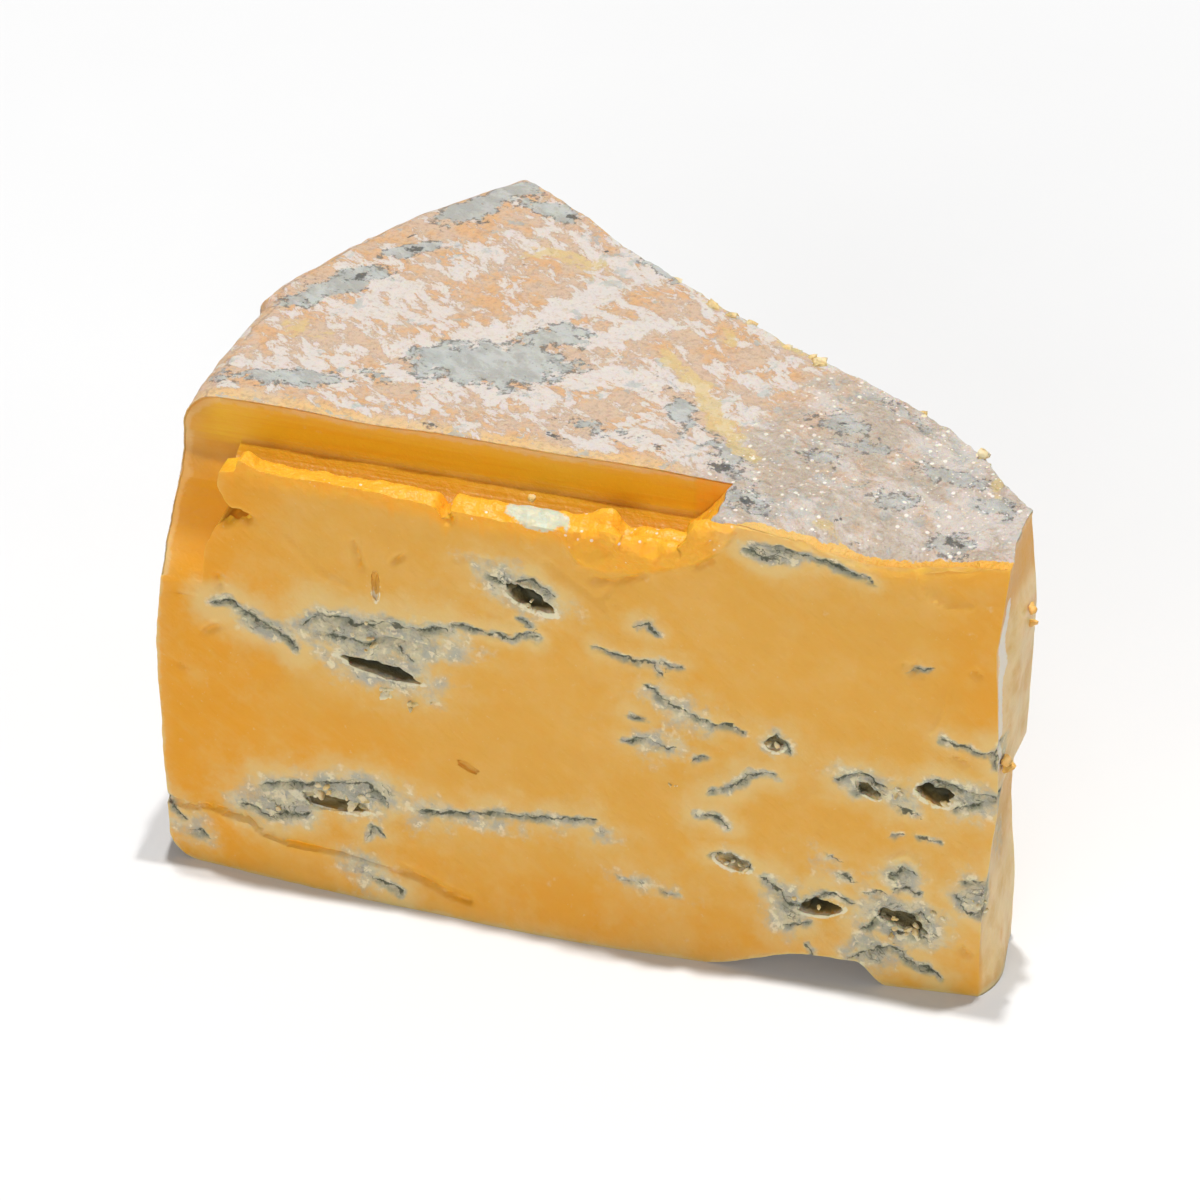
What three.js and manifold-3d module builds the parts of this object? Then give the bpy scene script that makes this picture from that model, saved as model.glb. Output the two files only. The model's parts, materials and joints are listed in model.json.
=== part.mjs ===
// A wedge cut from a low, round wheel of orange blue cheese, standing on the wheel's flat side.
// Lengths are in millimetres and angles in degrees. While the shape is worked out, the wheel's axis
// is at x = 0, y = 0: the wedge reaches from its blunt tip out to the rind at -X, its shown cut lies
// in the plane y = 0 and faces -Y, its other cut is behind it, and it stands on z = 0.
// At the end the solid is moved so that the origin is the middle of its base.

import * as THREE from "three";
import { ImprovedNoise } from "three/addons/math/ImprovedNoise.js";
import { mergeVertices } from "three/addons/utils/BufferGeometryUtils.js";
import Module from "manifold-3d";

// The wheel and the wedge
const WHEEL_RADIUS = 110.8;
const WHEEL_HEIGHT = 56.7;
const WEDGE_ANGLE = 34.8;
const RIND_SWELL = 3.2; // how far the rind bows out midway between the two cuts
const BELLY = { out: 1.8, z: 20, reach: 20 }; // how far it bows out low on its side
const SHOULDER = 3.4; // rounding where the wheel's flat sides meet its rim
// The back cut bows out by some degrees, most at one distance from the axis.
const BACK_BOW = { angle: 6, radius: 34, inwards: 10, outwards: 21 };

// The blunt tip: heights and distances from the axis, at its front and its back corner
const TIP_FRONT = [[0, 17.9], [12, 17.7], [25, 16.4], [35, 16.6], [46, 17.1], [57, 15.8]];
const TIP_BACK = [[0, 17.5], [9, 17.3], [19, 18.4], [25, 18.1], [28, 16.3], [46, 15.6], [57, 16.8]];
const TIP_FOOT = { out: 1.3, z: 9 }; // its foot bulges between the corners

// The slice taken from the top of the shown cut: its wall, its floor and the floor's front lip
const STEP_DEPTH = 7.8;
const STEP_FLOOR_Z = 49.4;
const STEP_FOOT_X = -54; // the floor ends here, and an inclined end wall starts
const STEP_END_X = -48.6; // that wall reaches the top here
const LIP_RISE = 1.6; // the lip stands this much over the floor
const LIP_BACK_Y = 3.2; // and this far back the floor is level
const LIP_LEFT = { x: [-88, -102], rise: 5 }; // it climbs at its left end
const LIP_GAP = { x: -77.6, width: 0.8, depth: 1.3 }; // a crack across it
const CURL = { x: -59.7, rise: 4.4, width: 1.5 }; // paste that the knife pushed up
// Left of the step a strip is cut back too, beside a torn edge given as heights and places.
const TORN_EDGE = [
  [60, -96], [56, -100.4], [54.6, -102.2], [52.7, -102.9], [52.2, -104.6], [50.2, -104.9],
  [48, -103.3], [47, -101.4], [46, -104.6], [42.5, -106.3], [29, -108.6],
];
const STRIP_FADE_Z = [31, 51]; // the strip's depth fades out over these heights

// Unevenness of the faces
const FOOT_FLARE = { out: 3.2, fade: 7 }; // how far the foot of the shown cut stands out
const FLAP = { left: [-109.6, 6.1], right: [-80, 2.4], proud: 1.1 }; // a torn skin along the foot
const TOP_DROOP = { x: -31, y: 0, depth: 2.6, along: 10, across: 6 }; // where the top sags forward
const NOTCH = { left: -49, rise: -37, fall: -31.5, right: -28, height: 2.9, across: 8 };
const TOP_WAVE = { high: 0.45, long: 11 }; // broad waves in the top rind
const RIM_WAVE = { high: 0.5, long: 12 }; // in the rim's rind
const CUT_WAVE = { high: 0.3, long: 14 }; // in the cuts
const LIP_WAVE = { high: 0.6, long: 2.6 }; // and in the torn lip of the step

// Grid of the solid: columns from rind to tip, rows across, and layers from base to top
const COLUMNS = 46;
const ACROSS = 12;
const FOOT_LAYERS = 4; // up to just over the torn skin
const SIDE_LAYERS = 12;
const TOP_LAYERS = 4; // over the shoulder
const LAYERS = FOOT_LAYERS + SIDE_LAYERS + TOP_LAYERS;

const POCKET_WAVE = { high: 0.25, long: 0.6 }; // raggedness of a pocket, as a share of its size

// Open pockets in the shown cut: middle x and z, length, height, depth and tilt
const POCKETS = [
  { x: -86.5, z: 29.8, length: 8.4, height: 1.9, depth: 5, tilt: -11 },
  { x: -69.2, z: 42.6, length: 5.6, height: 2.3, depth: 3.6, tilt: -22 },
  { x: -23.2, z: 26, length: 4.2, height: 2.5, depth: 3.2, tilt: -10 },
  { x: -30.8, z: 25.1, length: 3, height: 1.6, depth: 2, tilt: -30 },
  { x: -35.8, z: 8.7, length: 4.8, height: 1.9, depth: 4.2, tilt: 8 },
  { x: -26.4, z: 8.6, length: 5.6, height: 2.1, depth: 3, tilt: -14 },
  { x: -41.4, z: 29, length: 2.1, height: 2, depth: 1.3, tilt: 0 },
  { x: -45.9, z: 12.5, length: 3.9, height: 1.8, depth: 1.2, tilt: -12 },
  { x: -76.4, z: 19.1, length: 2.8, height: 1.3, depth: 1, tilt: -25 },
  { x: -92.4, z: 10.9, length: 7.6, height: 1.8, depth: 1.6, tilt: -5 },
  { x: -86.8, z: 40.9, length: 1, height: 3.8, depth: 1, tilt: 0 },
  { x: -38.6, z: 53, length: 8.6, height: 1.1, depth: 1.8, tilt: -7 },
];
// Pockets of the cut that faces away are spread evenly by two steps, within these ranges.
const BACK_POCKETS = {
  count: 8,
  radius: [30, 98],
  z: [9, 48],
  length: [3, 7],
  height: [1.4, 2.6],
  depth: [1.6, 3.6],
};
const STEP_ALONG = 0.7549;
const STEP_UP = 0.5698;

const noise = new ImprovedNoise();
const wave = (x, y, z, { high, long }) => high * noise.noise(x / long, y / long, z / long);
const lerp = THREE.MathUtils.lerp;
const clamp = THREE.MathUtils.clamp;
const rad = THREE.MathUtils.degToRad;
const bell = (distance, width) => Math.exp(-((distance / width) ** 2));
const rise = (value, from, to) => THREE.MathUtils.smoothstep(value, from, to);

// Value at x of a line through a few points, each given as [x, value], in either order.
function through(points, x) {
  for (let i = 1; i < points.length; i++) {
    const [[x0, v0], [x1, v1]] = [points[i - 1], points[i]];
    const share = (x - x0) / (x1 - x0);
    if (share <= 1) return lerp(v0, v1, Math.max(0, share));
  }
  return points[points.length - 1][1];
}

// Height of the torn skin's upper edge, and how much of its thickness is there at x.
function flapEdge(x) {
  const share = clamp((x - FLAP.left[0]) / (FLAP.right[0] - FLAP.left[0]), 0, 1);
  return { z: lerp(FLAP.left[1], FLAP.right[1], share ** 0.8), left: 1 - share ** 3 };
}

// The shown cut, towards +Y: its flared foot, its torn skin and its waves.
function cutY(x, z) {
  const along = clamp((x + WHEEL_RADIUS) / (WHEEL_RADIUS - TIP_FRONT[0][1]), 0, 1);
  const flare = -FOOT_FLARE.out * Math.exp(-z / FOOT_FLARE.fade) * Math.sin(Math.PI * along);
  const { z: edge, left } = flapEdge(x);
  const flap = -FLAP.proud * left * (1 - rise(z, edge + 0.35, edge + 0.45));
  return flare + flap + wave(x, 0, z, CUT_WAVE);
}

// Height of layer number i at x: the lowest ones follow the torn skin's edge.
function layerZ(i, x) {
  const edge = flapEdge(x).z;
  if (i < FOOT_LAYERS) return (edge * i) / (FOOT_LAYERS - 1);
  const foot = edge + 0.8;
  const side = WHEEL_HEIGHT - SHOULDER;
  if (i <= FOOT_LAYERS + SIDE_LAYERS) return lerp(foot, side, (i - FOOT_LAYERS) / SIDE_LAYERS);
  const turn = ((i - FOOT_LAYERS - SIDE_LAYERS) / TOP_LAYERS) * (Math.PI / 2);
  return side + SHOULDER * Math.sin(turn);
}

// How far the rind is from the axis at an angle and a height.
function rindRadius(angle, z) {
  const swell = RIND_SWELL * Math.sin((Math.PI * angle) / rad(WEDGE_ANGLE));
  const belly = BELLY.out * bell(z - BELLY.z, BELLY.reach);
  return WHEEL_RADIUS + swell + belly + wave(angle * WHEEL_RADIUS, 0, z, RIM_WAVE);
}

// How far the blunt tip is from the axis, measured square to it, at a height and a share v of the
// way across.
function tipDistance(z, v) {
  const side = lerp(through(TIP_FRONT, z), through(TIP_BACK, z), rise(v, 0, 0.6));
  return side - TIP_FOOT.out * Math.sin(Math.PI * v ** 0.7) * (1 - rise(z, 0, TIP_FOOT.z));
}

// The angle of the back cut at a distance from the axis, with its bow.
function backAngle(radius) {
  const reach = radius < BACK_BOW.radius ? BACK_BOW.inwards : BACK_BOW.outwards;
  return rad(WEDGE_ANGLE + BACK_BOW.angle * bell(radius - BACK_BOW.radius, reach));
}

// Height of the top rind, which sags towards the cut near the tip.
function topZ(x, y) {
  const sag = bell(x - TOP_DROOP.x, TOP_DROOP.along) * bell(y - TOP_DROOP.y, TOP_DROOP.across);
  return WHEEL_HEIGHT - TOP_DROOP.depth * sag + wave(x, y, 0, TOP_WAVE);
}

// Height of the base: flat, but for a hollow under the front edge near the tip.
function baseZ(x, y) {
  const along = rise(x, NOTCH.left, NOTCH.rise) * (1 - rise(x, NOTCH.fall, NOTCH.right));
  return NOTCH.height * along * bell(Math.max(0, y), NOTCH.across);
}

// Rounds the corner between the rim and a flat side. Both distances are from where the rounding
// starts, as shares of its radius, and a corner of the grid lands on the arc.
function roundCorner(a, b) {
  if (a <= 0 || b <= 0) return [a, b];
  const k = Math.max(a, b) / Math.hypot(a, b);
  return [a * k, b * k];
}

// Where the point u (rind to tip), v (shown cut to back cut), t (base to top) of a unit box goes.
function place(u, v, t) {
  const firstAngle = v * rad(WEDGE_ANGLE);
  const guess = lerp(WHEEL_RADIUS, TIP_FRONT[0][1], u);
  let z = layerZ(Math.round(t * LAYERS), -guess);
  const near = tipDistance(z, v) / Math.cos(firstAngle);
  let radius = lerp(rindRadius(firstAngle, z), near, u);
  const angle = v * backAngle(radius);

  const rim = rindRadius(firstAngle, z) - SHOULDER;
  const out = (radius - rim) / SHOULDER;
  const middle = WHEEL_HEIGHT / 2;
  const over = (Math.abs(z - middle) - middle + SHOULDER) / SHOULDER;
  const [roundOut, roundOver] = roundCorner(out, over);
  radius = rim + roundOut * SHOULDER;
  z += Math.sign(z - middle) * (roundOver - over) * SHOULDER;

  const x = -radius * Math.cos(angle);
  let y = radius * Math.sin(angle) + cutY(x, z) * (1 - v) ** 2;
  y += v === 1 ? wave(x, WHEEL_HEIGHT, z, CUT_WAVE) : 0;
  return [x, y, lerp(baseZ(x, y), topZ(x, y), z / WHEEL_HEIGHT)];
}

// A closed box of grid faces, each corner of which is moved to where a function puts it.
function boxMapped(columns, rows, layers, mapping) {
  const box = new THREE.BoxGeometry(1, 1, 1, columns, rows, layers);
  box.deleteAttribute("normal");
  box.deleteAttribute("uv");
  const merged = mergeVertices(box, 1e-4);
  const corner = merged.getAttribute("position");
  for (let i = 0; i < corner.count; i++) {
    const [u, v, t] = [corner.getX(i), corner.getY(i), corner.getZ(i)].map((c) => c + 0.5);
    corner.setXYZ(i, ...mapping(u, v, t));
  }
  return merged;
}

// Height of the step's floor, with its front lip, the lip's crack and curl, and the end wall.
function stepFloorZ(x, y) {
  const nearLip = 1 - rise(y, 0.6, LIP_BACK_Y);
  const climb = LIP_LEFT.rise * rise(-x, -LIP_LEFT.x[0], -LIP_LEFT.x[1]);
  const curl = CURL.rise * bell(x - CURL.x, CURL.width);
  const gap = LIP_GAP.depth * bell(x - LIP_GAP.x, LIP_GAP.width);
  const torn = wave(x, y, 0, LIP_WAVE);
  const edge = -0.8 * (1 - rise(y, -0.6, 1.2));
  const end = ((WHEEL_HEIGHT - STEP_FLOOR_Z) * (x - STEP_FOOT_X)) / (STEP_END_X - STEP_FOOT_X);
  const floor = STEP_FLOOR_Z + nearLip * (LIP_RISE + climb + curl - gap + torn) + edge;
  return Math.max(floor, STEP_FLOOR_Z + end);
}

// What is cut away over the step's floor, and what is cut away left of the torn edge.
function stepCutters() {
  const [left, right, front, over] = [-107, -46, -6, 64];
  const step = boxMapped(56, 10, 1, (u, v, t) => {
    const x = lerp(left, right, u);
    const y = lerp(-1, STEP_DEPTH, v);
    const z = t === 0 ? stepFloorZ(x, y) : over;
    return [x, v === 0 ? front : y, z];
  });
  const [low, high] = [STRIP_FADE_Z[0] - 2, over];
  const strip = boxMapped(1, 1, 24, (u, v, t) => {
    const z = lerp(low, high, t);
    const y = STEP_DEPTH * rise(z, ...STRIP_FADE_Z) - 0.6 * (1 - rise(z, low, STRIP_FADE_Z[0] + 3));
    return [u === 0 ? -130 : through(TORN_EDGE, z), v === 0 ? front : y, z];
  });
  return [step, strip];
}

// A ragged, flattened blob that cuts a pocket. It lies in the plane y = 0 and turns by its tilt.
// Its number makes its shape its own.
function pocketGeometry({ length, height, depth, tilt }, number) {
  const blob = new THREE.IcosahedronGeometry(1, 2);
  blob.deleteAttribute("normal");
  blob.deleteAttribute("uv");
  const merged = mergeVertices(blob, 1e-4);
  const corner = merged.getAttribute("position");
  const point = new THREE.Vector3();
  for (let i = 0; i < corner.count; i++) {
    point.fromBufferAttribute(corner, i);
    point.multiplyScalar(1 + wave(point.x + number, point.y, point.z, POCKET_WAVE));
    corner.setXYZ(i, (point.x * length) / 2, point.y * depth, (point.z * height) / 2);
  }
  merged.applyMatrix4(new THREE.Matrix4().makeRotationY(rad(-tilt)));
  return merged;
}

// The pockets of the cut that faces away.
function backPockets() {
  const made = [];
  for (let i = 1; i <= BACK_POCKETS.count; i++) {
    const along = (i * STEP_ALONG) % 1;
    const up = (i * STEP_UP) % 1;
    const radius = lerp(...BACK_POCKETS.radius, along);
    const length = lerp(...BACK_POCKETS.length, up);
    const height = lerp(...BACK_POCKETS.height, along);
    const depth = lerp(...BACK_POCKETS.depth, up);
    const geometry = pocketGeometry({ length, height, depth, tilt: 20 - 40 * up }, POCKETS.length + i);
    geometry.applyMatrix4(new THREE.Matrix4().makeRotationZ(-rad(WEDGE_ANGLE)));
    const angle = backAngle(radius);
    const [x, y] = [-radius * Math.cos(angle), radius * Math.sin(angle)];
    geometry.translate(x, y, lerp(...BACK_POCKETS.z, up));
    made.push(geometry);
  }
  return made;
}

const wasm = await Module();
wasm.setup();

function solidOf(geometry) {
  return new wasm.Manifold(
    new wasm.Mesh({
      numProp: 3,
      vertProperties: new Float32Array(geometry.getAttribute("position").array),
      triVerts: new Uint32Array(geometry.index.array),
    }),
  );
}

function geometryOf(solid) {
  const mesh = solid.getMesh();
  const geometry = new THREE.BufferGeometry();
  geometry.setAttribute("position", new THREE.BufferAttribute(mesh.vertProperties, 3));
  geometry.setIndex(new THREE.BufferAttribute(mesh.triVerts, 1));
  return geometry;
}

function cheeseGeometry() {
  let solid = solidOf(boxMapped(COLUMNS, ACROSS, LAYERS, place));
  for (const cutter of stepCutters()) solid = solid.subtract(solidOf(cutter));
  POCKETS.forEach((pocket, i) => {
    const cutter = pocketGeometry(pocket, i);
    cutter.translate(pocket.x, cutY(pocket.x, pocket.z), pocket.z);
    solid = solid.subtract(solidOf(cutter));
  });
  for (const cutter of backPockets()) solid = solid.subtract(solidOf(cutter));
  const geometry = geometryOf(solid);
  geometry.computeBoundingBox();
  const { min, max } = geometry.boundingBox;
  geometry.translate(-(min.x + max.x) / 2, -(min.y + max.y) / 2, -min.z);
  geometry.computeVertexNormals();
  return geometry;
}

const paste = new THREE.MeshStandardMaterial({ color: 0xe0a24a, roughness: 0.5, metalness: 0 });
const cheese = new THREE.Mesh(cheeseGeometry(), paste);
cheese.name = "cheese_wedge";

const part = new THREE.Group();
part.add(cheese);

export default part;
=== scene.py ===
import functools
import json
import math
import random

import bmesh
import bpy
import numpy as np
from bpy.props import FloatProperty, FloatVectorProperty, PointerProperty
from mathutils import Matrix, Vector, noise

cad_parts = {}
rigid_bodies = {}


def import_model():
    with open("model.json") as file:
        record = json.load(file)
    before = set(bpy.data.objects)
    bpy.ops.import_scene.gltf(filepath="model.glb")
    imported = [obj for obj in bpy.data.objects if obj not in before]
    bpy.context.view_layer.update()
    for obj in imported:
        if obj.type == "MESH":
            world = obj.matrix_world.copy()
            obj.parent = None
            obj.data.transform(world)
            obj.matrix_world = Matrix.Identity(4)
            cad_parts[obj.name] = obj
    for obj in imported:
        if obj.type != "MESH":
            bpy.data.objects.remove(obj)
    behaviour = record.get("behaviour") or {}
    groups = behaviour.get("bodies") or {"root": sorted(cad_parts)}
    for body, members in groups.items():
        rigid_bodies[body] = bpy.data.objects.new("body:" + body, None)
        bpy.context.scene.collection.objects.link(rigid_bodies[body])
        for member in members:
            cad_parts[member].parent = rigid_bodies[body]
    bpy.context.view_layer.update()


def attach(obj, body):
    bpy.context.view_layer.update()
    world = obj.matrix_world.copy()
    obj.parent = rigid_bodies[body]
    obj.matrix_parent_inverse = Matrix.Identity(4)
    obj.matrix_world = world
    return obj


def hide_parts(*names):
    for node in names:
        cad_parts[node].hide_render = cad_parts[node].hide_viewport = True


bl_info = {
    "name": "Blue Cheese Wedge",
    "version": (1, 0, 0),
    "blender": (4, 5, 0),
    "location": "3D View > Sidebar > Cheese",
    "description": "Builds a wedge of orange blue cheese with its rind, mould veins and crumbs",
    "category": "Add Mesh",
}

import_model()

MM = 0.001
NODE = "cheese_wedge"
BODY = "root"
SEED = 11

# Point the camera aims at: its distance from the axis and its height
AIM = (61.2, 44.0)
# Share and direction of the two key lights: almost straight above, a little behind the shown cut
KEYS_FROM = [(0.55, (-0.03, 0.07, 1.0)), (0.45, (0.09, 0.08, 1.0))]

# The form is worked out in millimetres from the wheel's axis, which stands here in the part's frame.
AXIS_PLACE = (64.559, -30.513)

# The wheel's rind, with its swell, its step beside the shown cut and its belly, and the back cut's bow
RIND_SWELL = 3.2
RIM_STEP = {"in": 0.9, "from": math.radians(8), "to": math.radians(14.9)}
BELLY = {"out": 1.8, "z": 20, "reach": 20}
BACK_BOW = {"angle": math.radians(6), "radius": 34, "inwards": 10, "outwards": 21}

# The blunt tip: heights and distances from the axis, at its front and its back corner
TIP_FRONT = [(0, 17.9), (12, 17.7), (25, 16.4), (35, 16.6), (46, 17.1), (57, 15.8)]
TIP_BACK = [(0, 17.5), (9, 17.3), (19, 18.4), (25, 18.1), (28, 16.3), (46, 15.6), (57, 16.8)]
TIP_FOOT = {"out": 1.3, "z": 9}
TIP_FACE_X = (-18.6, -17.4)

# The slice taken from the top of the shown cut
STEP_FLOOR_Z = 49.4
STEP_FOOT_X = -54
STEP_END_X = -48.6
STEP_LEFT_X = -107
FILLET = {"rise": 2.4, "width": 4.4}
# The lip along the step's front: rise of its crest, share of it at the cut, and where it lies
LIP_RISE = 3.7
LIP_CREST_Y = 1.8
LIP_BACK_Y = 4.8
LIP_FRONT = {"share": 0.72, "start": 76, "end": 92}
LIP_END = {"x": -101.9, "rise": 1.2, "width": 1.1}
LIP_ENDS = {"left": (-106, -103), "right": (-47.6, -46.4)}
LIP_GAP = {"x": -79, "width": 0.6, "depth": 1.6}
LIP_DIP = {"x": -58.8, "width": 1.1, "depth": 0.7}
CURL = {"x": -60.3, "rise": 1.5, "width": 2.4, "y": 2.4}
# Right edge of the strip torn away beside the rind, as z and x, and where its depth runs out
TORN_EDGE = [
    (60, -96), (56, -100.4), (54.6, -102.2), (52.7, -102.9), (52.2, -104.6), (50.2, -104.9),
    (48, -103.3), (47, -101.4), (46, -104.6), (42.5, -106.3), (31, -108),
]
STRIP_FADE_Z = (33, 51)
# Paste pushed over the cut at the step's right end: the foot of its ridge as x and z, and its ends
RIDGE_FOOT = [
    (-67, 53), (-65, 50.2), (-63.6, 48.2), (-60.8, 47.7), (-57.2, 48), (-54, 49.2), (-49.6, 51.1),
    (-47.2, 53.6), (-45.4, 57),
]
RIDGE_ENDS = {"left": (-67, -65), "right": (-46.4, -45.2)}
RIDGE_PROUD = 0.6

# Unevenness of the faces: the foot with its torn skin, whose edge is given as x and z, then the rest
FOOT_FLARE = {"out": 3.2, "fade": 7}
FLAP = {"left": -112, "right": -80, "proud": 0.55, "groove": 0.2}
FLAP_EDGE = [
    (-111.9, 7), (-109.4, 6.5), (-106.5, 7.1), (-104.2, 6.5), (-102.4, 6.5), (-100.7, 4.9),
    (-97.6, 4.3), (-90.2, 4.4), (-87.9, 4.1), (-83, 3.5), (-78.7, 2.2),
]
TOP_DROOP = {"x": -31, "y": 0, "depth": 2.6, "along": 10, "across": 6}
NOTCH = {"left": -49, "rise": -37, "fall": -31.5, "right": -28, "height": 2.9, "across": 8}
TOP_WAVE = (0.45, 11)
RIM_WAVE = (0.5, 12)
CUT_WAVE = (0.3, 14)
LIP_WAVES = [(0.35, 3.4), (0.22, 1.3), (0.1, 0.6)]
FLAP_WAVES = [(0.2, 1.6), (0.12, 0.7)]

# Rows of the unit box before the shown cut, the top and the rim are divided once more
COLUMNS = 124
ACROSS = 34
LAYERS = 76
FOOT_LAYERS = 10
SHOULDER_LAYERS = 5
FLAP_STEP = 0.4

# Open pockets in the shown cut: middle x and z, length, height, depth and tilt in degrees
POCKETS = [
    (-86.5, 29.8, 8.4, 1.9, 5, -11), (-69.2, 42.6, 5.6, 2.3, 3.6, -22),
    (-23.2, 26, 4.2, 2.5, 3.2, -10), (-30.8, 25.1, 3, 1.6, 1.1, -30),
    (-35.8, 8.7, 4.8, 1.9, 4.2, 8), (-26.4, 8.6, 5.6, 2.1, 1.5, -14),
    (-41.4, 29, 2.1, 2, 0.9, 0), (-45.9, 12.5, 3.9, 1.8, 0.8, -12),
    (-76.4, 19.1, 2.8, 1.1, 0.5, -25), (-92.4, 10.9, 7.6, 1.8, 1.0, -5),
    (-86.8, 40.9, 1, 3.8, 0.6, 0),
]
POCKET_WAVES = [(0.28, 0.6), (0.16, 0.25), (0.1, 0.12)]
# Those of the back cut: their number, the ranges they fill, and the steps that spread them evenly
BACK_POCKETS = {
    "count": 8, "radius": (30, 98), "z": (9, 48), "length": (3, 7), "height": (1.4, 2.6),
    "depth": (1.6, 3.6),
}
STEP_ALONG = 0.7549
STEP_UP = 0.5698

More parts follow.
